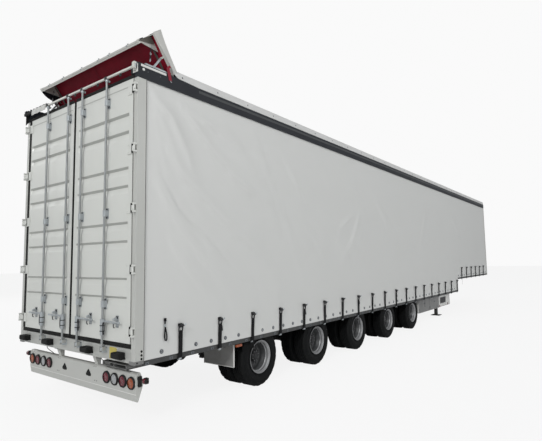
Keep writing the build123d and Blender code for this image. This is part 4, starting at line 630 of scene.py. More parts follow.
# Rope loop beside the rear corner of each curtain
for word, side in SIDES:
    b = Build()
    x, y = REAR + 396, side * 1271
    b.box((x - 14, x + 14), (side * 1266, side * 1278), (1090, 1124), 0)
    b.band([(x, y, 1100), (x - 2, y + side * 2, 1064), (x - 4, y + side * 3, 1030)], 15, 11, (0, 1, 0), 0)
    b.rod((x - 3, y + side * 2, 1062), (x - 4, y + side * 3, 1030), 10, 12, 1)
    loop = [(x + 4 + 24 * sin(t) * (0.55 - 0.45 * cos(t)) - 4 * cos(t), y + side * (3 + 3 * sin(t / 2)),
             1030 - 74 * (1 - cos(t))) for t in np.linspace(0, 2 * pi, 25)]
    b.band(loop, 9, 12, (0, 1, 0), 0)
    make(f"pull_loop_{word}", b, [web, zinc], "root", bevel=1.5)

# Roof sheet: over the bows, down over the rails as a skirt
RX0, RX1 = -7748, 8418
BOWS = [-7703 + (8360 - 90 + 7703) * i / 18 for i in range(19)]


def roof_grid():
    cols = np.linspace(RX0, RX1, 260)
    path = [(1268, 3893), (1269, 3915), (1269, 3940), (1268, 3962), (1264, 3980), (1254, 3993), (1238, 3999.4)]
    across = path + [(y, ROOF_TOP) for y in np.linspace(1200, -1200, 34)] + [(-y, z) for y, z in path[::-1]]
    grid = np.zeros((len(across), len(cols), 3))
    for r, (y, z) in enumerate(across):
        flat = abs(y) < 1239
        sag = np.zeros(len(cols))
        if flat:
            near = np.array([min(abs(x - bx - 22) for bx in BOWS) for x in cols])
            sag = 9 * (1 - np.exp(-(near / 260) ** 2)) * (1 - (abs(y) / 1239) ** 4)
            sag += 1.5 * np.sin(cols / 210 + y / 300) * (1 - (abs(y) / 1239) ** 2)
        wave = np.abs(max(0, 3990 - z) / 100 * (2.2 * np.sin(cols / 160) + 1.2 * np.sin(cols / 67 + 1)))
        grid[r, :, 0] = cols
        grid[r, :, 1] = y + np.sign(y) * wave
        low = z - sag
        if abs(y) > 1200 and z < 3930:
            low = low + np.clip((REAR + 900 - cols) / 500, 0, 1) * 22
        grid[r, :, 2] = low
    return grid


cloth("roof_cloth", roof_grid(), 3.0, [roof_cloth, maroon], "root", ["roof_sheet"])
b = Build()
for side in (-1, 1):
    for i in range(27):
        x = RX0 + 50 + i * 606
        if x < RX1 - 20:
            b.lathe((x, side * 1272.5, 3935), (0, side, 0), [(-3, 0.4), (-3, 9), (0.5, 9), (2.4, 6), (3, 0.4)], 12)
make("roof_rivets", b, zinc_dark, "root")

# Raised tail: its own sheet, maroon inside, with side skirts and the trims on its frame
OPEN = radians(54)
HX, HZ = REAR + 500, 3930


def lid(along, up):
    return (HX - along * cos(OPEN) + up * sin(OPEN), HZ + along * sin(OPEN) + up * cos(OPEN))


def lid_grid():
    rows = []
    section = [(1268, 13), (1269.5, 30), (1269, 48), (1264, 62), (1252, 68.5), (1232, 70)]
    across = section + [(y, 70) for y in np.linspace(1190, -1190, 26)] + [(-y, u) for y, u in section[::-1]]
    for y, u in across:
        line = []
        for along in np.linspace(2, 498, 14):
            up = u
            if u > 65:
                up += 1.2 * sin(along / 60 + y / 200) - 2.5 * sin(pi * along / 500) * (1 - (y / 1300) ** 2)
            x, z = lid(along, up)
            line.append((x, y, z))
        rows.append(line)
    return np.array(rows)


cloth("tail_cloth", lid_grid(), 3.0, [roof_cloth, maroon], "roof_tail", ["tail_sheet"])

# Bridge of cloth between the raised section and the roof sheet, with its side skirts
SECTION = [(1270, 62), (1270.5, 46), (1270, 28), (1266, 12), (1256, 3), (1240, 0)]
rows = []
for y, drop in SECTION + [(y, 0) for y in np.linspace(1190, -1190, 26)] + [(-y, d) for y, d in SECTION[::-1]]:
    line = []
    for k in range(9):
        t = k / 8
        x0, z0 = lid(4, 69.5 - 0.88 * drop)
        x1, z1 = RX0 + 1, 3999 - 1.5 * drop
        fold = (7 * sin(t * 2 * pi) + 3 * sin(t * 4 * pi)) * (1 - drop / 75)
        line.append((x0 + (x1 - x0) * t - fold * 0.5, y, z0 + (z1 - z0) * t + fold - 6 * sin(pi * t)))
    rows.append(line)
bridge_grid = np.array(rows)


def measure(grid):
    """Mean lengths along the columns and rows, and the area, in metres."""
    wide = np.linalg.norm(np.diff(grid, axis=0), axis=2).sum(axis=0).max() * MM
    deep = np.linalg.norm(np.diff(grid, axis=1), axis=2).sum(axis=1).max() * MM
    cells = np.linalg.norm(np.cross(grid[1:, 1:] - grid[:-1, :-1], grid[1:, :-1] - grid[:-1, 1:]), axis=2)
    return float(wide), float(deep), float(min(cells.sum() / 2 * MM * MM, wide * deep))


wide, deep, whole = measure(bridge_grid)
bridge = cloth("tail_bridge", bridge_grid, 2.5, [roof_cloth, maroon], None)
x0, z0 = lid(0, 66)
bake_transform(bridge)


def lid_box(b, along, up, y, mat=0):
    b.prism("y", [lid(along[0], up[0]), lid(along[1], up[0]), lid(along[1], up[1]), lid(along[0], up[1])],
            y[0], y[1], mat)


b = Build()
# nubs along the beam's upper edge
for y in (-930, -560, -330, 60, 520, 900):
    lid_box(b, (490, 506), (-134, -122), (y - 9, y + 9), 1)
    lid_box(b, (476, 494), (-159, -153), (y - 12, y + 12), 1)
# light trim of the header's faces, and fittings at its ends
lid_box(b, (472, 492), (-158, -152), (-1136, 1136), 0)
for s in (-1, 1):
    lid_box(b, (482, 498), (-152, -128), (s * 1120, s * 1143), 0)
    lid_box(b, (466, 498), (-122, -70), (s * 1120, s * 1144), 4)
    lid_box(b, (470, 498), (30, 58), (s * 1150, s * 1200), 4)
# dark stiffeners against the lining
for y in (-1090, 1090):
    lid_box(b, (20, 470), (50, 56), (y - 16, y + 16), 2)
lid_box(b, (30, 470), (42, 45), (62, 74), 3)
make("tail_trim", b, [cream, zinc, gusset_brown_and_painted_shade, strap_red, black_rail], "roof_tail", bevel=1.0)

b = Build()
# the right gusset's dark brown-grey is partly painted shade
for side, mat in ((-1, 0), (1, 1)):
    outline = [lid(486, -150)]
    if side < 0:
        outline += [lid(392, 30), lid(392, 56), lid(488, 56)]
    else:
        for k in range(9):
            t = k / 8
            outline.append(lid(486 - 250 * sin(t * pi / 2), -150 + 200 * (1 - cos(t * pi / 2))))
        outline += [lid(486, 54)]
    b.prism("y", outline, side * 1142, side * 1148, mat)
# maroon cheeks inside the side bars, and short chains that hang from the header's ends
for side in (-1, 1):
    lid_box(b, (20, 470), (20, 54), (side * 1200, side * 1206), 2)
for side in (-1, 1):
    lx, lz = lid(404, 20)
    for k in range(8):
        turn = np.arange(10) / 10 * 2 * pi
        flat = 0 if k % 2 else 8
        ring = [(lx - 2 * k + flat * cos(t), side * 1134 + (7 - 7 * flat / 8) * cos(t),
                 lz - 16 - 27 * k + 18 * sin(t)) for t in turn]
        b.tube(ring, 4, 6, 3 if k % 3 == 1 else 1, closed=True)
make("tail_gussets", b, [gusset_brown_and_painted_shade, black_rail, maroon, zinc], "roof_tail", bevel=0.8)

# Skirt bands of the raised section, widest at its free corners
for side in (-1, 1):
    rows = []
    for k in range(16):
        t = k / 15
        along = 6 + 496 * t
        width = 50 + 84 * t ** 1.6
        line = []
        for j in range(6):
            x, z = lid(along, 68 + 54 * t ** 1.8 - width * j / 5)
            line.append((x, side * (1271.5 + 4 * sin(pi * j / 5) * t + 2 * sin(t * 6)), z))
        rows.append(line)
    grid = np.array(rows)
    wide, deep, whole = measure(grid)
    word = "right" if side < 0 else "left"
    cloth(f"tail_skirt_{word}", grid, 2.5, [skirt_cloth, maroon], "roof_tail", (),
          out=(0, side, 0))

# Red straps from the tail's side bars to a small hook on the rail
for side in (-1, 1):
    b = Build()
    x0, z0 = lid(100, 30)
    b.band(over(side, [(x0, 1262, z0), (-7915, 1268, 3985), (-7912, 1277.5, 3940), (-7898, 1280, 3880),
                       (-7886, 1280, 3836)]), 44, 3, (1, 0, 0.05), 0)
    b.tube(over(side, [(-7886, 1281, 3838), (-7885, 1283, 3826), (-7877, 1283, 3818), (-7869, 1282, 3826)]), 4, 6, 1)
    strap = make(f"red_strap_{'right' if side < 0 else 'left'}", b, [strap_red, zinc], None)
    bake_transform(strap)

b = Build()
b.pair((REAR + 900, 8400), (1274.8, 1276.6), (3826, 3858), 0)
make("rail_grooves", b, rail_groove, "root", bevel=0.5)

# Roof rail trims at the tail: silver strips, rivet and corner block
b = Build()
for side in (-1, 1):
    b.box((REAR + 36, REAR + 385), (side * HALF, side * (HALF + 4)), (3876, 3902), 1 if side < 0 else 0)
    b.box((REAR + 108, REAR + 412), (side * 1236, side * 1262), (3913, 3938), 0)
    b.lathe((REAR + 74, side * HALF, 3848), (0, side, 0), [(-2, 0.4), (-2, 16), (2, 16), (4, 10), (4.6, 0.4)], 16, 1)
    for x in (REAR + 130, REAR + 300):
        b.bolt((x, side * HALF, 3836), (0, side, 0), 6, 4, 2)
# upstand beside the left rail, and the light end plate of the right one
b.box((REAR + 12, REAR + 480), (1240, 1262), (3888, 3942), 3)
b.box((REAR - 6, REAR - 0.5), (-1192, -HALF), (3802, 3889), 1)
for z in (3820, 3868):
    b.bolt((REAR - 6, -1232, z), (-1, 0, 0), 7, 4, 2)
make("rail_trims", b, [zinc, white_edge, zinc_dark, black_rail], "root", bevel=1.0)
b = Build()
b.box((REAR - 20, REAR + 44), (-1236, -1262), (3892, 3910), 2)
b.box((REAR - 34, REAR + 60), (1215, 1277), (3864, 3908), 1)
b.prism("y", at(REAR, 0, [(-34, 3700), (-34, 3864), (20, 3864), (20, 3780)]), 1262, 1279, 1)
b.box((REAR - 62, REAR - 31), (1050, 1277), (3828, 3866), 1)
make("roof_corners", b, [cream, rubber, zinc], "root", bevel=4)

# Folded end of the roof sheet, laid over the tie rail beside the left corner, with a dark scalloped edge
rows, edge = [], []
for k in range(49):
    t = k / 48
    y = 1045 - 390 * t
    tooth = 15 * abs(sin(t * 4.5 * pi)) + 4 * sin(t * 31)
    wave = 3 * sin(t * 19)
    rows.append([(REAR - 29, y, 3846), (REAR - 33, y, 3861 + 0.6 * tooth), (REAR - 48, y, 3865 + tooth),
                 (REAR - 61, y, 3862 + 0.5 * tooth), (REAR - 64 + wave, y, 3828), (REAR - 63 + wave, y, 3794)])
    edge.append((REAR - 49, y, 3867 + tooth))
grid = np.array(rows)
wide, deep, whole = measure(grid)
cloth("roof_fold", grid, 2.0, [skirt_cloth, flap_grey], "root", (),
      out=(-1, 0, 0))
b = Build()
b.tube(edge, 5, 8, 0)
make("fold_edging", b, rubber, "root")

# Door leaves: pressed grooves with a steep upper slope painted darker as its shade, hinge plates and knuckles
LUG = [(1, 1190), (-9, 1190), (-18, 1234), (-30, 1254), (-28, 1275), (-17, 1264), (-8, 1238)]
HINGES = [DOOR_FOOT + DOOR_TALL * s for s in (0.0455, 0.2704, 0.4981, 0.724, 0.957)]
GROOVES = [DOOR_FOOT + DOOR_TALL * s for s in (0.852, 0.782, 0.642, 0.572, 0.432, 0.362, 0.222, 0.152)]


def leaf(word, side):
    levels = [(895, 3, 0), (898, 0, 0)]
    for z in sorted(GROOVES):
        levels += [(z - 50, 0, 0), (z - 36, 0, 7), (z + 12, 0, 22), (z + 25, 0, 25), (z + 49, 0, 0)]
    levels += [(3747, 0, 0), (3750, 3, 0)]
    across = [(25, 3, 0), (28, 0, 0), (103, 0, 0), (118, 0, 1), (1112, 0, 1), (1128, 0, 0), (1205, 0, 0),
              (DOOR_EDGE, 3, 0)]
    rows, cols = len(levels), len(across)
    front = [(REAR + max(edge, rim) + deep * inside, side * y, z)
             for z, edge, deep in levels for y, rim, inside in across]
    faces, mats = [], []
    for r in range(rows - 1):
        for c in range(cols - 1):
            a = r * cols + c
            quad = (a, a + cols, a + cols + 1, a + 1)
            faces.append(quad if side > 0 else quad[::-1])
            # the upper slope of each groove takes the darker paint: painted shade
            mats.append(1 if levels[r][2] == 25 and 2 <= c <= 4 else 0)
    ring = (list(range(cols)) + [r * cols + cols - 1 for r in range(1, rows)]
            + [(rows - 1) * cols + c for c in range(cols - 2, -1, -1)] + [r * cols for r in range(rows - 2, 0, -1)])
    count = rows * cols
    behind = [(REAR + 42, front[i][1], front[i][2]) for i in ring]
    for k in range(len(ring)):
        n = (k + 1) % len(ring)
        quad = (ring[k], ring[n], count + n, count + k)
        faces.append(quad if side > 0 else quad[::-1])
    back = tuple(count + k for k in range(len(ring)))
    faces.append(back if side > 0 else back[::-1])
    b = Build()
    b.put(front + behind, faces, 0)
    b.m[:len(mats)] = mats
    # pressed frame of the inner face
    for z0, z1 in ((930, 1000), (1760, 1830), (2650, 2720), (3640, 3710)):
        b.box((REAR + 40, REAR + 45), (side * 60, side * 1172), (z0, z1), 0)
    for z in HINGES:
        b.box((REAR - 9, REAR + 1), (side * 1112, side * 1199), (z - 57.5, z + 57.5), 0)
        b.prism("z", [(REAR + out, side * y) for out, y in LUG], z - 27.5, z + 27.5, 0)
        b.lathe((REAR - 28, side * 1264, z), (0, 0, 1), [(-27.5, 7.5), (-27.5, 11), (27.5, 11), (27.5, 7.5)], 20, 0)
    make(f"door_leaf_{word}", b, [paint, groove_painted_shade], f"door_{word}", [f"door_{word}"], 30, bevel=1.6)


leaf("left", 1)
leaf("right", -1)

# Door gear: lock rods with cams, guides, sleeves, handles and catches
GUIDES = [DOOR_FOOT + DOOR_TALL * s for s in (0.1384, 0.4886, 0.9335)]
RODS = {"left": [DOOR_EDGE * s for s in (0.513, 0.083)], "right": [DOOR_EDGE * s for s in (-0.19, -0.6175)]}
ROD_X = REAR - 38
for word, side in DOOR_SIDES:
    b = Build()
    for y in RODS[word]:
        b.rod((ROD_X, y, 800), (ROD_X, y, 3830), 13, 20, 2)
        # cams at both ends
        for z, s in ((806, 1), (3818, -1)):
            b.lathe((ROD_X, y, z), (0, 0, s), [(-14, 0.5), (-14, 20), (10, 20), (16, 15.5), (16, 0.5)], 20, 0)
            b.prism("z", at(ROD_X, y, [(14, -12), (30, -18), (34, -8), (30, 8), (14, 12)]), z - 10, z + 10, 0)
        for z in GUIDES:
            b.box((REAR - 5, REAR - 0.2), (y - 26, y + 26), (z - 60, z + 60), 0)
            b.prism("z", at(REAR, y, [(-2, -24), (-40, -21), (-53, -12), (-56, 0), (-53, 12), (-40, 21), (-2, 24)]),
                    z - 34, z + 34, 0)
            for s in (-1, 1):
                b.bolt((REAR - 5, y, z + s * 48), (-1, 0, 0), 9, 8, 1)
        # lower sleeve, collars and the handle's hub
        b.lathe((ROD_X, y, 955), (0, 0, 1), [(0, 15), (0, 23), (8, 24), (142, 24), (151, 22), (151, 15)], 22, 0)
        for z in (1000, 1060):
            b.lathe((ROD_X, y, z), (0, 0, 1), [(-5, 23), (-5, 27), (5, 27), (5, 23)], 20, 1)
        b.lathe((ROD_X, y, 1110), (0, 0, 1), [(-20, 15), (-20, 25), (20, 25), (20, 15)], 20, 0)
        b.prism("x", [(y, 1098), (y + side * 60, 1100), (y + side * 60, 1120), (y, 1122)], ROD_X - 14, ROD_X - 6, 0)
        # loop beside the sleeve
        loop = [(ROD_X - 8, y + side * (33 + 15 * cos(t)), 1030 + 66 * sin(t)) for t in np.arange(20) * pi / 10]
        b.tube(loop, 5.5, 8, 1, closed=True)
        # handle: flat bar with a rounded grip
        bar = [(40, 1100), (250, 1103), (330, 1097), (336, 1108), (328, 1120), (250, 1117), (40, 1121)]
        b.prism("x", [(y + side * out, z) for out, z in bar], ROD_X - 11, ROD_X - 3, 0)
        b.tube([(ROD_X - 7, y + side * 250, 1110), (ROD_X - 9, y + side * 334, 1108)], 8.5, 10, 0)
        # catch: plate, hasp and retainer
        c = y + side * 225
        b.box((REAR - 4, REAR - 0.2), (c - 24, c + 24), (1048, 1176), 0)
        b.prism("y", at(REAR, 0, [(-4, 1092), (-54, 1092), (-58, 1104), (-52, 1104), (-50, 1097), (-4, 1097)]),
                c - 15, c + 15, 0)
        b.prism("y", at(REAR, 0, [(-4, 1124), (-50, 1124), (-56, 1138), (-48, 1152), (-4, 1160)]), c - 11, c + 11, 0)
        b.lathe((REAR - 4, c, 1152), (-1, 0, 0), [(0, 6), (0, 15), (10, 15), (12, 10), (12, 6)], 18, 1)
        b.tube([(ROD_X - 10, c, 1092), (ROD_X - 12, c, 1072), (ROD_X - 8, c, 1056), (ROD_X + 2, c, 1050)], 5.5, 8, 1)
        for z in (1056, 1168):
            for s in (-1, 1):
                b.bolt((REAR - 4, c + s * 15, z), (-1, 0, 0), 5, 4, 1)
    make(f"lock_gear_{word}", b, [zinc, hub_dark, rod_zinc], f"door_{word}",
         [f"door_{word}_gear"], 34, bevel=0.8)

b = Build()
b.box((REAR - 57, REAR - 34), (-1250, 1250), (3836, 3857), 0)
for side in (-1, 1):
    b.prism("y", at(REAR, 0, [(-57, 3830), (-57, 3892), (-46, 3906), (-22, 3906), (-22, 3830)]),
            side * 1240, side * 1270, 2 if side > 0 else 0)
    b.box((REAR - 32, REAR + 4), (side * 1244, side * 1266), (3842, 3882), 2)
    b.box((REAR - 40, REAR - 22), (side * 1270, side * 1274), (3846, 3884), 1)
make("tie_rail", b, [cream, zinc, black_rail], "root", ["tie_bar"], bevel=3)
b = Build()
for y in RODS["left"] + RODS["right"]:
    b.box((ROD_X - 22, ROD_X + 14), (y - 24, y + 24), (3832, 3864), 0)
    b.prism("x", at(y, 0, [(-30, 3850), (30, 3850), (20, 3872), (-20, 3872)]), ROD_X - 6, ROD_X + 10, 0)
for y in (-1010, -560, -60, 420, 930):
    b.prism("x", at(y, 0, [(-22, 3806), (22, 3806), (14, 3834), (-14, 3834)]), REAR - 44, REAR - 34, 0)
make("tie_bar_keepers", b, [hub_dark], "root", bevel=2)

# Fold line across the head of each leaf, darker above as painted shade, bolts of its hinge plates, rubber along its
# edges, and black blocks at the hinge plates' ends as their painted shadow
for word, side in DOOR_SIDES:
    b = Build()
    # the band above the fold line takes the darker paint: painted shade of the crease
    b.box((REAR - 2.4, REAR - 0.1), (side * 1112, side * 56), (3658, 3672), 1)
    b.box((REAR - 1.2, REAR - 0.1), (side * 1112, side * 56), (3640, 3658), 0)
    for z in HINGES:
        for dz in (-36, 36):
            b.bolt((REAR - 9, side * 1134, z + dz), (-1, 0, 0), 7, 4, 0)
    make(f"leaf_trim_{word}", b, [paint, groove_painted_shade], f"door_{word}", bevel=0.4)
    b = Build()
    # black blocks at the outer ends of the hinge plates: painted shadow of the hinges
    for z in HINGES:
        b.box((REAR - 11.5, REAR - 1), (side * 1189, side * 1199.5), (z - 50, z + 50), 0)
    b.box((REAR - 3.5, REAR + 1), (side * 27, side * 1206), (3749, 3787), 0)
    if side > 0:
        b.box((REAR - 2.5, REAR - 0.1), (1150, 1207), (897, 3748), 0)
    else:
        b.box((REAR - 1.2, REAR - 0.1), (-1200, -1207), (897, 3748), 0)
    make(f"leaf_rubber_and_hinge_shadows_{word}", b, [rubber], f"door_{word}")

# Sill: keepers' side cheeks, fixing bolts, blank yellow plate, post foot castings
b = Build()
for y in RODS["left"] + RODS["right"]:
    b.box((REAR - 6, REAR - 0.2), (y - 46, y + 46), (764, 836), 0)
    for s in (-1, 1):
        cheek = [(4, 25), (50, 25), (54, 31), (46, 36), (4, 44)]
        b.prism("z", [(REAR - out, y + s * wide) for out, wide in cheek], 772, 792, 0)
        for z in (775, 825):
            b.bolt((REAR - 6, y + s * 38, z), (-1, 0, 0), 5, 4, 1)
make("sill_keepers", b, [zinc, hub_dark], "root", bevel=1.0)
b = Build()
b.box((REAR - 3, REAR - 0.2), (-838, -968), (716, 838), 0)
for y in (-846, -960):
    for z in (724, 830):
        b.bolt((REAR - 3, y, z), (-1, 0, 0), 3, 2, 1)
make("blank_plate", b, [plate_yellow, zinc_dark], "root", bevel=1.0)
b = Build()
for side in (-1, 1):
    b.box((REAR - 4, REAR + 112), (side * 1190, side * 1279), (690, 724), 0)
    for z in (741, 778, 818):
        b.knob((REAR + 87, side * 1275, z), (0, side, 0), [(-2, 13), (1, 13), (3, 9)], 16, 1)
    b.knob((REAR + 30, side * 1279, 707), (0, side, 0), [(-2, 9), (1, 9)], 12, 1)
make("post_feet", b, [locker_grey, rubber], "root", bevel=5)

b = Build()
b.pair((REAR + 113, REAR + 117), (1258, 1276.5), (716, 3744), 0)
make("post_seams", b, rubber, "root")

# Buffers' bolts and ribs
b = Build()
for y in (446.25, 1050, -446.25, -1050):
    for s in (-1, 1):
        b.knob((REAR - 90, y + s * 36, 775), (-1, 0, 0), [(-8, 12), (-0.5, 12), (-0.5, 8), (-6, 8)], 14, 0)
    b.box((REAR - 60, REAR - 0.3), (y - 76, y + 76), (736, 748), 1)
make("buffer_trim", b, [hub_dark, rubber], "root", bevel=1.5)

# Lamps: thick rubber rim, domed lens with a ring, on the bar; marker arms at its ends
BAR = REAR + 95
LAMPS = [(0.9322, "amber"), (0.805, "red"), (0.6754, "clear"), (0.5466, "red")]
RIM = [(-3, 44), (-3, 68), (6, 68), (16, 64), (21, 57), (15, 52), (8, 51), (8, 44)]
LENS = [(7, 0.4), (7, 52), (13, 51.5), (16, 44), (17, 26), (18.5, 24), (18.5, 20), (17, 18), (18, 8), (18.5, 0.4)]
bodies, lenses = Build(), {"red": Build(), "amber": Build(), "clear": Build()}
for share, kind in LAMPS:
    for side in (-1, 1):
        c = (BAR, side * 1180 * share, 470)
        bodies.lathe(c, (-1, 0, 0), RIM, 40, 0)
        lenses[kind].lathe(c, (-1, 0, 0), LENS, 40, 0)
for side in (-1, 1):
    x = BAR + 15
    axis = (0, side, 0)
    bodies.prism("z", [(x + dx, side * y) for dx, y in ((0, 1180), (44, 1180), (40, 1206), (6, 1210))], 440, 545, 0)
    bodies.tube(over(side, [(x + 22, 1196, 500), (x + 20, 1230, 506), (x + 17, 1262, 511)]), 19, 14, 0)
    bodies.lathe((x + 15, side * 1288, 512), axis,
                 [(-34, 6), (-32, 18), (-22, 24), (30, 26), (38, 22), (41, 14), (41, 6)], 28, 0)
    lenses["red"].lathe((x + 15, side * 1290, 512), axis, [(-18, 25), (-15, 28.5), (16, 28.5), (19, 25)], 28, 0)
    for low, high in ((522, 542), (484, 526)):
        bodies.prism("x", [(side * 1270, low), (side * 1311, low), (side * 1311, high), (side * 1270, high)],
                     x + 6, x + 46, 0)
make("lamp_rims", bodies, lamp_black, "root", ["lamp_bodies"], 34)
make("lens_set_red", lenses["red"], lens_red, "root", ["lamps_red"], 50)
make("lens_set_amber", lenses["amber"], lens_amber, "root", ["lamps_amber"], 50)
make("lens_set_clear", lenses["clear"], lens_clear, "root", ["lamps_clear"], 50)

# Lamp bar: screws by the brackets, dark spades as painted shade in place of the cut-outs, a light strip at the lower
# lip as painted highlight on its crease, rounded ends
b = Build()
for side in (-1, 1):
    for y in (385, 425):
        for wide, z in ((y, 554), (y + 20, 398)):
            b.lathe((BAR, side * wide, z), (-1, 0, 0), [(-2, 0.4), (-2, 6), (2, 5), (3, 0.4)], 10, 1)
    c = side * 1180 * 0.229
    # dark spade laid on the face where the cut-out is: painted shade
    spade = [(-24, 430), (-14, 436), (-12, 428), (12, 428), (14, 436), (24, 430), (44, 432), (54, 444), (52, 458),
             (34, 480), (12, 502), (0, 510), (-12, 502), (-34, 480), (-52, 458), (-54, 444), (-44, 432)]
    b.prism("x", [(c + w, z) for w, z in spade], BAR - 1.3, BAR + 2, 1)
    b.knob((BAR + 28, side * 1181, 470), (0, side, 0), [(-3, 40), (2, 40)], 20, 0)
# lighter strip along the crease of the lower lip: painted highlight
b.box((BAR - 2, BAR + 1), (-1176, 1176), (355, 363), 2)
make("bar_details", b, [paint, rubber, white_edge], "root", bevel=0.6)

# Cables from the sill to the bar, each a cord that goes back into the object
for word, route in (
    ("a", [(-8288, 622, 702), (-8288, 622, 690), (-8282, 628, 664), (-8262, 622, 640), (-8226, 604, 606),
           (-8210, 592, 588), (-8208, 590, 578)]),
    ("b", [(-8264, -556, 702), (-8264, -556, 690), (-8262, -574, 664), (-8240, -596, 632), (-8214, -612, 604),
           (-8204, -614, 588), (-8204, -614, 578)]),
):
    line = bpy.data.curves.new(f"lamp_cable_{word}", "CURVE")
    line.dimensions = "3D"
    spline = line.splines.new("NURBS")
    spline.points.add(len(route) - 1)
    for point, place in zip(spline.points, route):
        point.co = (*[c * MM for c in place], 1)
    spline.order_u = 3
    spline.use_endpoint_u = True
    line.resolution_u = 12
    cable = bpy.data.objects.new(line.name, line)
    bpy.context.scene.collection.objects.link(cable)
    bare = bpy.data.meshes.new_from_object(cable)
    bpy.data.meshes.remove(bare)
    line.bevel_depth = 0.004
    line.bevel_resolution = 3
    line.materials.append(rubber)
    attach(cable, "root")

# Under the tail: a tray of flat bars and a bracket, seen between the sill and the bar
b = Build()
for z in (612, 652):
    b.box((REAR + 40, REAR + 330), (-1080, -640), (z, z + 8), 1)
for y in (-1080, -860, -648):
    b.box((REAR + 40, REAR + 330), (y, y + 8), (608, 664), 1)
b.box((REAR + 60, REAR + 150), (-760, -640), (620, 650), 1)
b.prism("y", at(REAR, 0, [(60, 700), (60, 672), (430, 640), (430, 700)]), 380, 470, 0)
make("tail_underside", b, [chassis, grey_rail], "root", bevel=2)

# Side rail fittings under the curtain's foot, amber markers and small lamps
pick = np.random.default_rng(9)
for word, side in SIDES:
    b = Build()
    x = X0 + 30
    while x < X1 - 40:
        low = HIGH_RAIL if x > XSTEP else LOW_RAIL
        if abs(x - XSTEP) > 140:
            b.box((x, x + 46), (side * 1254, side * 1261), (low + 8, low + 38), 0)
            b.bolt((x + 23, side * 1261, low + 22), (0, side, 0), 6, 4, 1)
        x += 322
    b.prism("y", at(X0, 0, [(460, 656), (520, 628), (560, 630), (600, 656)]), side * 1235, side * 1258, 1)
    make(f"rail_fittings_{word}", b, [zinc_dark, rubber], "root", bevel=0.8)
    b = Build()
    x = REAR + 1635
    b.box((x - 60, x + 60), (side * 1246, side * 1254), (LOW_RAIL - 8, LOW_RAIL + 4), 1)
    b.box((x - 56, x + 56), (side * 1236, side * 1262), (LOW_RAIL - 40, LOW_RAIL - 8), 0)
    make(f"side_markers_{word}", b, [lens_amber, lamp_black], "root", bevel=3)

# Mudflaps' white edges, lockers' lids with their latches, panel rails, reflectors, and in the panel a dark sheet of
# painted shade and a pale pane
b = Build()
fx = REAR + 1599
for side in (-1, 1):
    b.box((fx - 8, fx + 8), (side * 1186, side * 1200), (350, 765), 0)
    b.box((fx - 7, fx + 7), (side * 640, side * 1190), (346, 356), 0)
    for y in (760, 900, 1040, 1150):
        b.bolt((fx - 4, side * y, 736), (-1, 0, 0), 7, 4, 1)
make("flap_edges", b, [white_edge, hub_dark], "root", bevel=2)
LB, LF, PF = REAR + 8750, REAR + 10450, REAR + 11560
b = Build()
for side in (-1, 1):
    y = side * 1200
    mid = (LB + LF) / 2
    for x0, x1 in ((LB + 14, mid - 8), (mid + 8, LF - 14)):
        b.box((x0, x1), (y, y + side * 5), (330, 752), 0)
        b.box(((x0 + x1) / 2 - 40, (x0 + x1) / 2 + 40), (y + side * 5, y + side * 13), (520, 548), 1)
        b.rod((x0 + 6, y + side * 7, 360), (x0 + 6, y + side * 7, 430), 6, 8, 1)
        b.rod((x0 + 6, y + side * 7, 650), (x0 + 6, y + side * 7, 720), 6, 8, 1)
    b.box((LB + 2, LF - 2), (y - side * 3, y + side * 1.5), (318, 762), 0)
    b.box((LF + 34, PF - 6), (y, y + side * 3), (668, 678), 0)
    b.box((LF + 34, PF - 6), (y, y + side * 3), (327, 337), 0)
make("locker_lids", b, [locker_grey, zinc_dark], "root", bevel=2)
b = Build()
for side in (-1, 1):
    y = side * 1200
    for x in (LF + 70, PF - 250):
        for z in (356, 644):
            b.knob((x, y, z), (0, side, 0), [(-2, 36), (4, 36), (6, 30)], 20, 0)
make("panel_reflectors", b, [lens_red], "root", bevel=1.5)
b = Build()
for side in (-1, 1):
    # dark sheet filling the panel's see-through opening: painted shade
    b.box((LF + 110, PF - 80), (side * 1183, side * 1187), (410, 595), 0)
    b.box((LF + 700, PF - 84), (side * 1186, side * 1199), (412, 593), 1)
make("panel_shade_sheet_and_pane", b, [hub_dark, white_edge], "root")

# Front wall: recessed panel between corner posts and beams, ribs, couplings and marker lamps
b = Build()
b.box((NOSE - 60, NOSE - 18), (-1200, 1200), (1150, 3700), 0)
for side in (-1, 1):
    post = [(60, 1186), (8, 1186), (0, 1200), (0, 1262), (12, 1274.5), (60, 1274.5)]
    b.prism("z", [(NOSE - back, side * y) for back, y in post], 1048.5, 3799, 0)
b.box((NOSE - 60, NOSE - 1), (-1196, 1196), (1048.5, 1180), 0)
b.box((NOSE - 60, NOSE - 4), (-1196, 1196), (3640, 3799), 0)
b.box((NOSE - 60, NOSE - 8), (-1148, 1148), (3799, 3985), 0)
for y in (-960, -720, -480, -240, 0, 240, 480, 720, 960):
    b.prism("z", at(NOSE, y, [(-19, -34), (-8, -22), (-8, 22), (-19, 34)]), 1186, 3634, 0)
for z in (1110, 3715):
    for k in range(12):
        b.bolt((NOSE - 4, -1100 + 200 * k, z), (1, 0, 0), 7, 4 if z > 3000 else 3.9, 1)
b.box((NOSE - 20, NOSE - 5), (-420, 420), (1200, 1360), 2)
for y, r, m in ((-330, 34, 3), (-230, 30, 3), (-110, 26, 1), (0, 30, 3), (120, 26, 4), (230, 30, 3), (340, 34, 1)):
    b.lathe((NOSE - 5, y, 1290), (1, 0, 0), [(-2, 0.4), (-2, r), (2, r), (4.5, r - 6), (4.5, 0.4)], 20, m)
b.pair((NOSE - 14, NOSE - 0.5), (1090, 1170), (3600, 3632), 3)
make("front_wall_built", b, [post_paint, zinc_dark, hub_dark, lamp_black, lens_red], "root",
     ["front_wall"], bevel=2.5)
b = Build()
b.pair((NOSE - 3, NOSE - 0.1), (1098, 1162), (3606, 3626), 0)
make("front_lamps", b, lens_clear, "root", bevel=1.0)

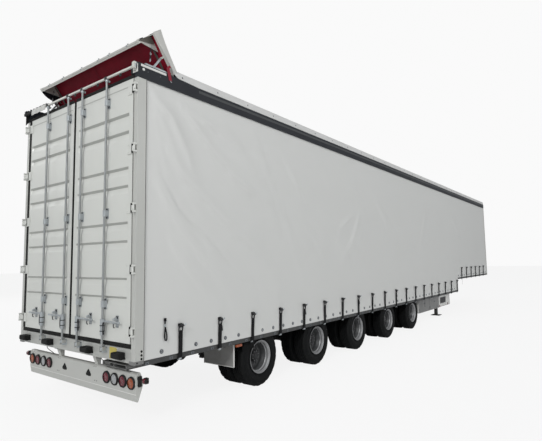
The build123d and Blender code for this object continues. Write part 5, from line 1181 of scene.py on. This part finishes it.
# Running gear: springs' bands and pistons, brake chambers, shock absorbers
b = Build()
for x in AXLE_X:
    for side in (-1, 1):
        y = side * 560
        b.lathe((x - 390, y, 425), (0, 0, 1),
                [(0, 40), (0, 96), (14, 112), (30, 128), (52, 134), (60, 128), (68, 134), (92, 130), (108, 118),
                 (120, 118), (120, 40)], 30, 0)
        b.rod((x + 70, side * 470, AXLE_Z + 10), (x + 150, side * 470, AXLE_Z + 40), 62, 20, 1)
        b.rod((x + 150, side * 470, AXLE_Z + 40), (x + 158, side * 470, AXLE_Z + 43), 66, 20, 2)
        b.rod((x + 158, side * 470, AXLE_Z + 43), (x + 215, side * 470, AXLE_Z + 64), 58, 20, 1)
        b.rod((x + 10, side * 648, AXLE_Z - 30), (x + 250, side * 640, 640), 22, 12, 1)
        b.rod((x + 120, side * 644, AXLE_Z + 85), (x + 250, side * 640, 640), 30, 12, 1)
        for s in (-1, 1):
            for dy in (-46, 46):
                b.rod((x + s * 70, y + dy, AXLE_Z - 70), (x + s * 70, y + dy, 520), 9, 8, 2)
make("running_gear", b, [rubber, chassis, hub_dark], "root", bevel=1.5)

# Underside: air tanks on their straps, and pipes along the beams
TANK_X = 970
b = Build()
for y in (280, -280):
    b.lathe((TANK_X, y, 660), (1, 0, 0),
            [(0, 0.5), (10, 70), (40, 112), (80, 122), (780, 122), (820, 112), (850, 70), (860, 0.5)], 28, 0)
    for x in (TANK_X + 160, TANK_X + 640):
        b.box((x, x + 30), (y - 126, y + 126), (658, 765), 1)
for y in (-440, -470, 430):
    b.tube([(REAR + 240, y, 720), (-2000, y, 700), (2000, y, 700), (3900, y, 730)], 10, 8, 1)
make("air_tanks", b, [hub_dark, chassis], "root", bevel=1.5)

# Stage: pale floor, soft light, and the photo's camera
floor = Build()
floor.box((-90000, 90000), (-90000, 90000), (-60, -0.6), 0)
ground = shader("floor_pale", (0.86, 0.86, 0.86), 0.7, second=(0.85, 0.85, 0.85), scale=0.4, rough_spread=0.05)


def camera_sees(nt, shown, lit, target, share=1.0):
    """Camera rays get a share of what is shown, and the light's own paths keep what is lit."""
    mix, rays, part = (nt.nodes.new("ShaderNode" + kind) for kind in ("MixShader", "LightPath", "Math"))
    part.operation = "MULTIPLY"
    part.inputs[1].default_value = share
    for source, socket in (
        (rays.outputs["Is Camera Ray"], part.inputs[0]), (part.outputs["Value"], mix.inputs["Fac"]),
        (lit, mix.inputs[1]), (shown, mix.inputs[2]), (mix.outputs["Shader"], target),
    ):
        nt.links.new(source, socket)


tree = ground.node_tree
glow = tree.nodes.new("ShaderNodeEmission")
glow.inputs["Color"].default_value = tone(0.965)
camera_sees(tree, glow.outputs["Emission"], tree.nodes["Principled BSDF"].outputs["BSDF"],
            tree.nodes["Material Output"].inputs["Surface"], 0.9)
plane = make("ground", floor, ground, None)

world = bpy.data.worlds.new("studio")
bpy.context.scene.world = world
world.use_nodes = True
nt = world.node_tree
nt.nodes.clear()
sky = []
for colour, strength in (((0.96, 0.98, 1.0), 0.46), (0.955, 1.0)):
    sky.append(nt.nodes.new("ShaderNodeBackground"))
    sky[-1].inputs["Color"].default_value = tone(colour)
    sky[-1].inputs["Strength"].default_value = strength
camera_sees(nt, sky[1].outputs["Background"], sky[0].outputs["Background"],
            nt.nodes.new("ShaderNodeOutputWorld").inputs["Surface"])


def area_light(name, place, aim, size, power):
    data = bpy.data.lights.new(name, "AREA")
    data.shape, data.size, data.size_y, data.energy = "RECTANGLE", size[0], size[1], power
    o = bpy.data.objects.new(name, data)
    o.location = place
    o.rotation_euler = (Vector(aim) - Vector(place)).to_track_quat("-Z", "Y").to_euler()
    bpy.context.scene.collection.objects.link(o)


area_light("rear", (-21, -7, 16), (-8, 0, 2), (4, 4), 520)
area_light("side", (1, -22, 10), (1, 0, 1.5), (22, 8), 1350)
area_light("rake", (-26, -9, 12), (-4, -1, 2.4), (2.5, 2.5), 1800)
area_light("far_side", (-6, 18, 10), (-2, 0, 2), (16, 8), 900)

# The photo's camera, solved from its perspective: focal length and width in its pixels
FOCAL, PHOTO_WIDE = 441.409, 542
cam = bpy.data.cameras.new("camera")
cam.sensor_width = 36
cam.lens = 36 * FOCAL / PHOTO_WIDE
cam.clip_end = 400
eye = bpy.data.objects.new("camera", cam)
yaw, pitch, roll = radians(37.168), radians(5.228), radians(-0.857)
ahead = Vector((cos(pitch) * cos(yaw), cos(pitch) * sin(yaw), sin(pitch)))
right = Vector((sin(yaw), -cos(yaw), 0))
up = right.cross(ahead)
across, upward = right * cos(roll) + up * sin(roll), up * cos(roll) - right * sin(roll)
m = Matrix((across, upward, -ahead)).transposed().to_4x4()
m.translation = Vector((-11.151, -5.191, 1.734))
eye.matrix_world = m
bpy.context.scene.collection.objects.link(eye)
bpy.context.scene.camera = eye
bpy.context.scene.view_settings.view_transform = "Standard"
bpy.context.scene.view_settings.look = "None"
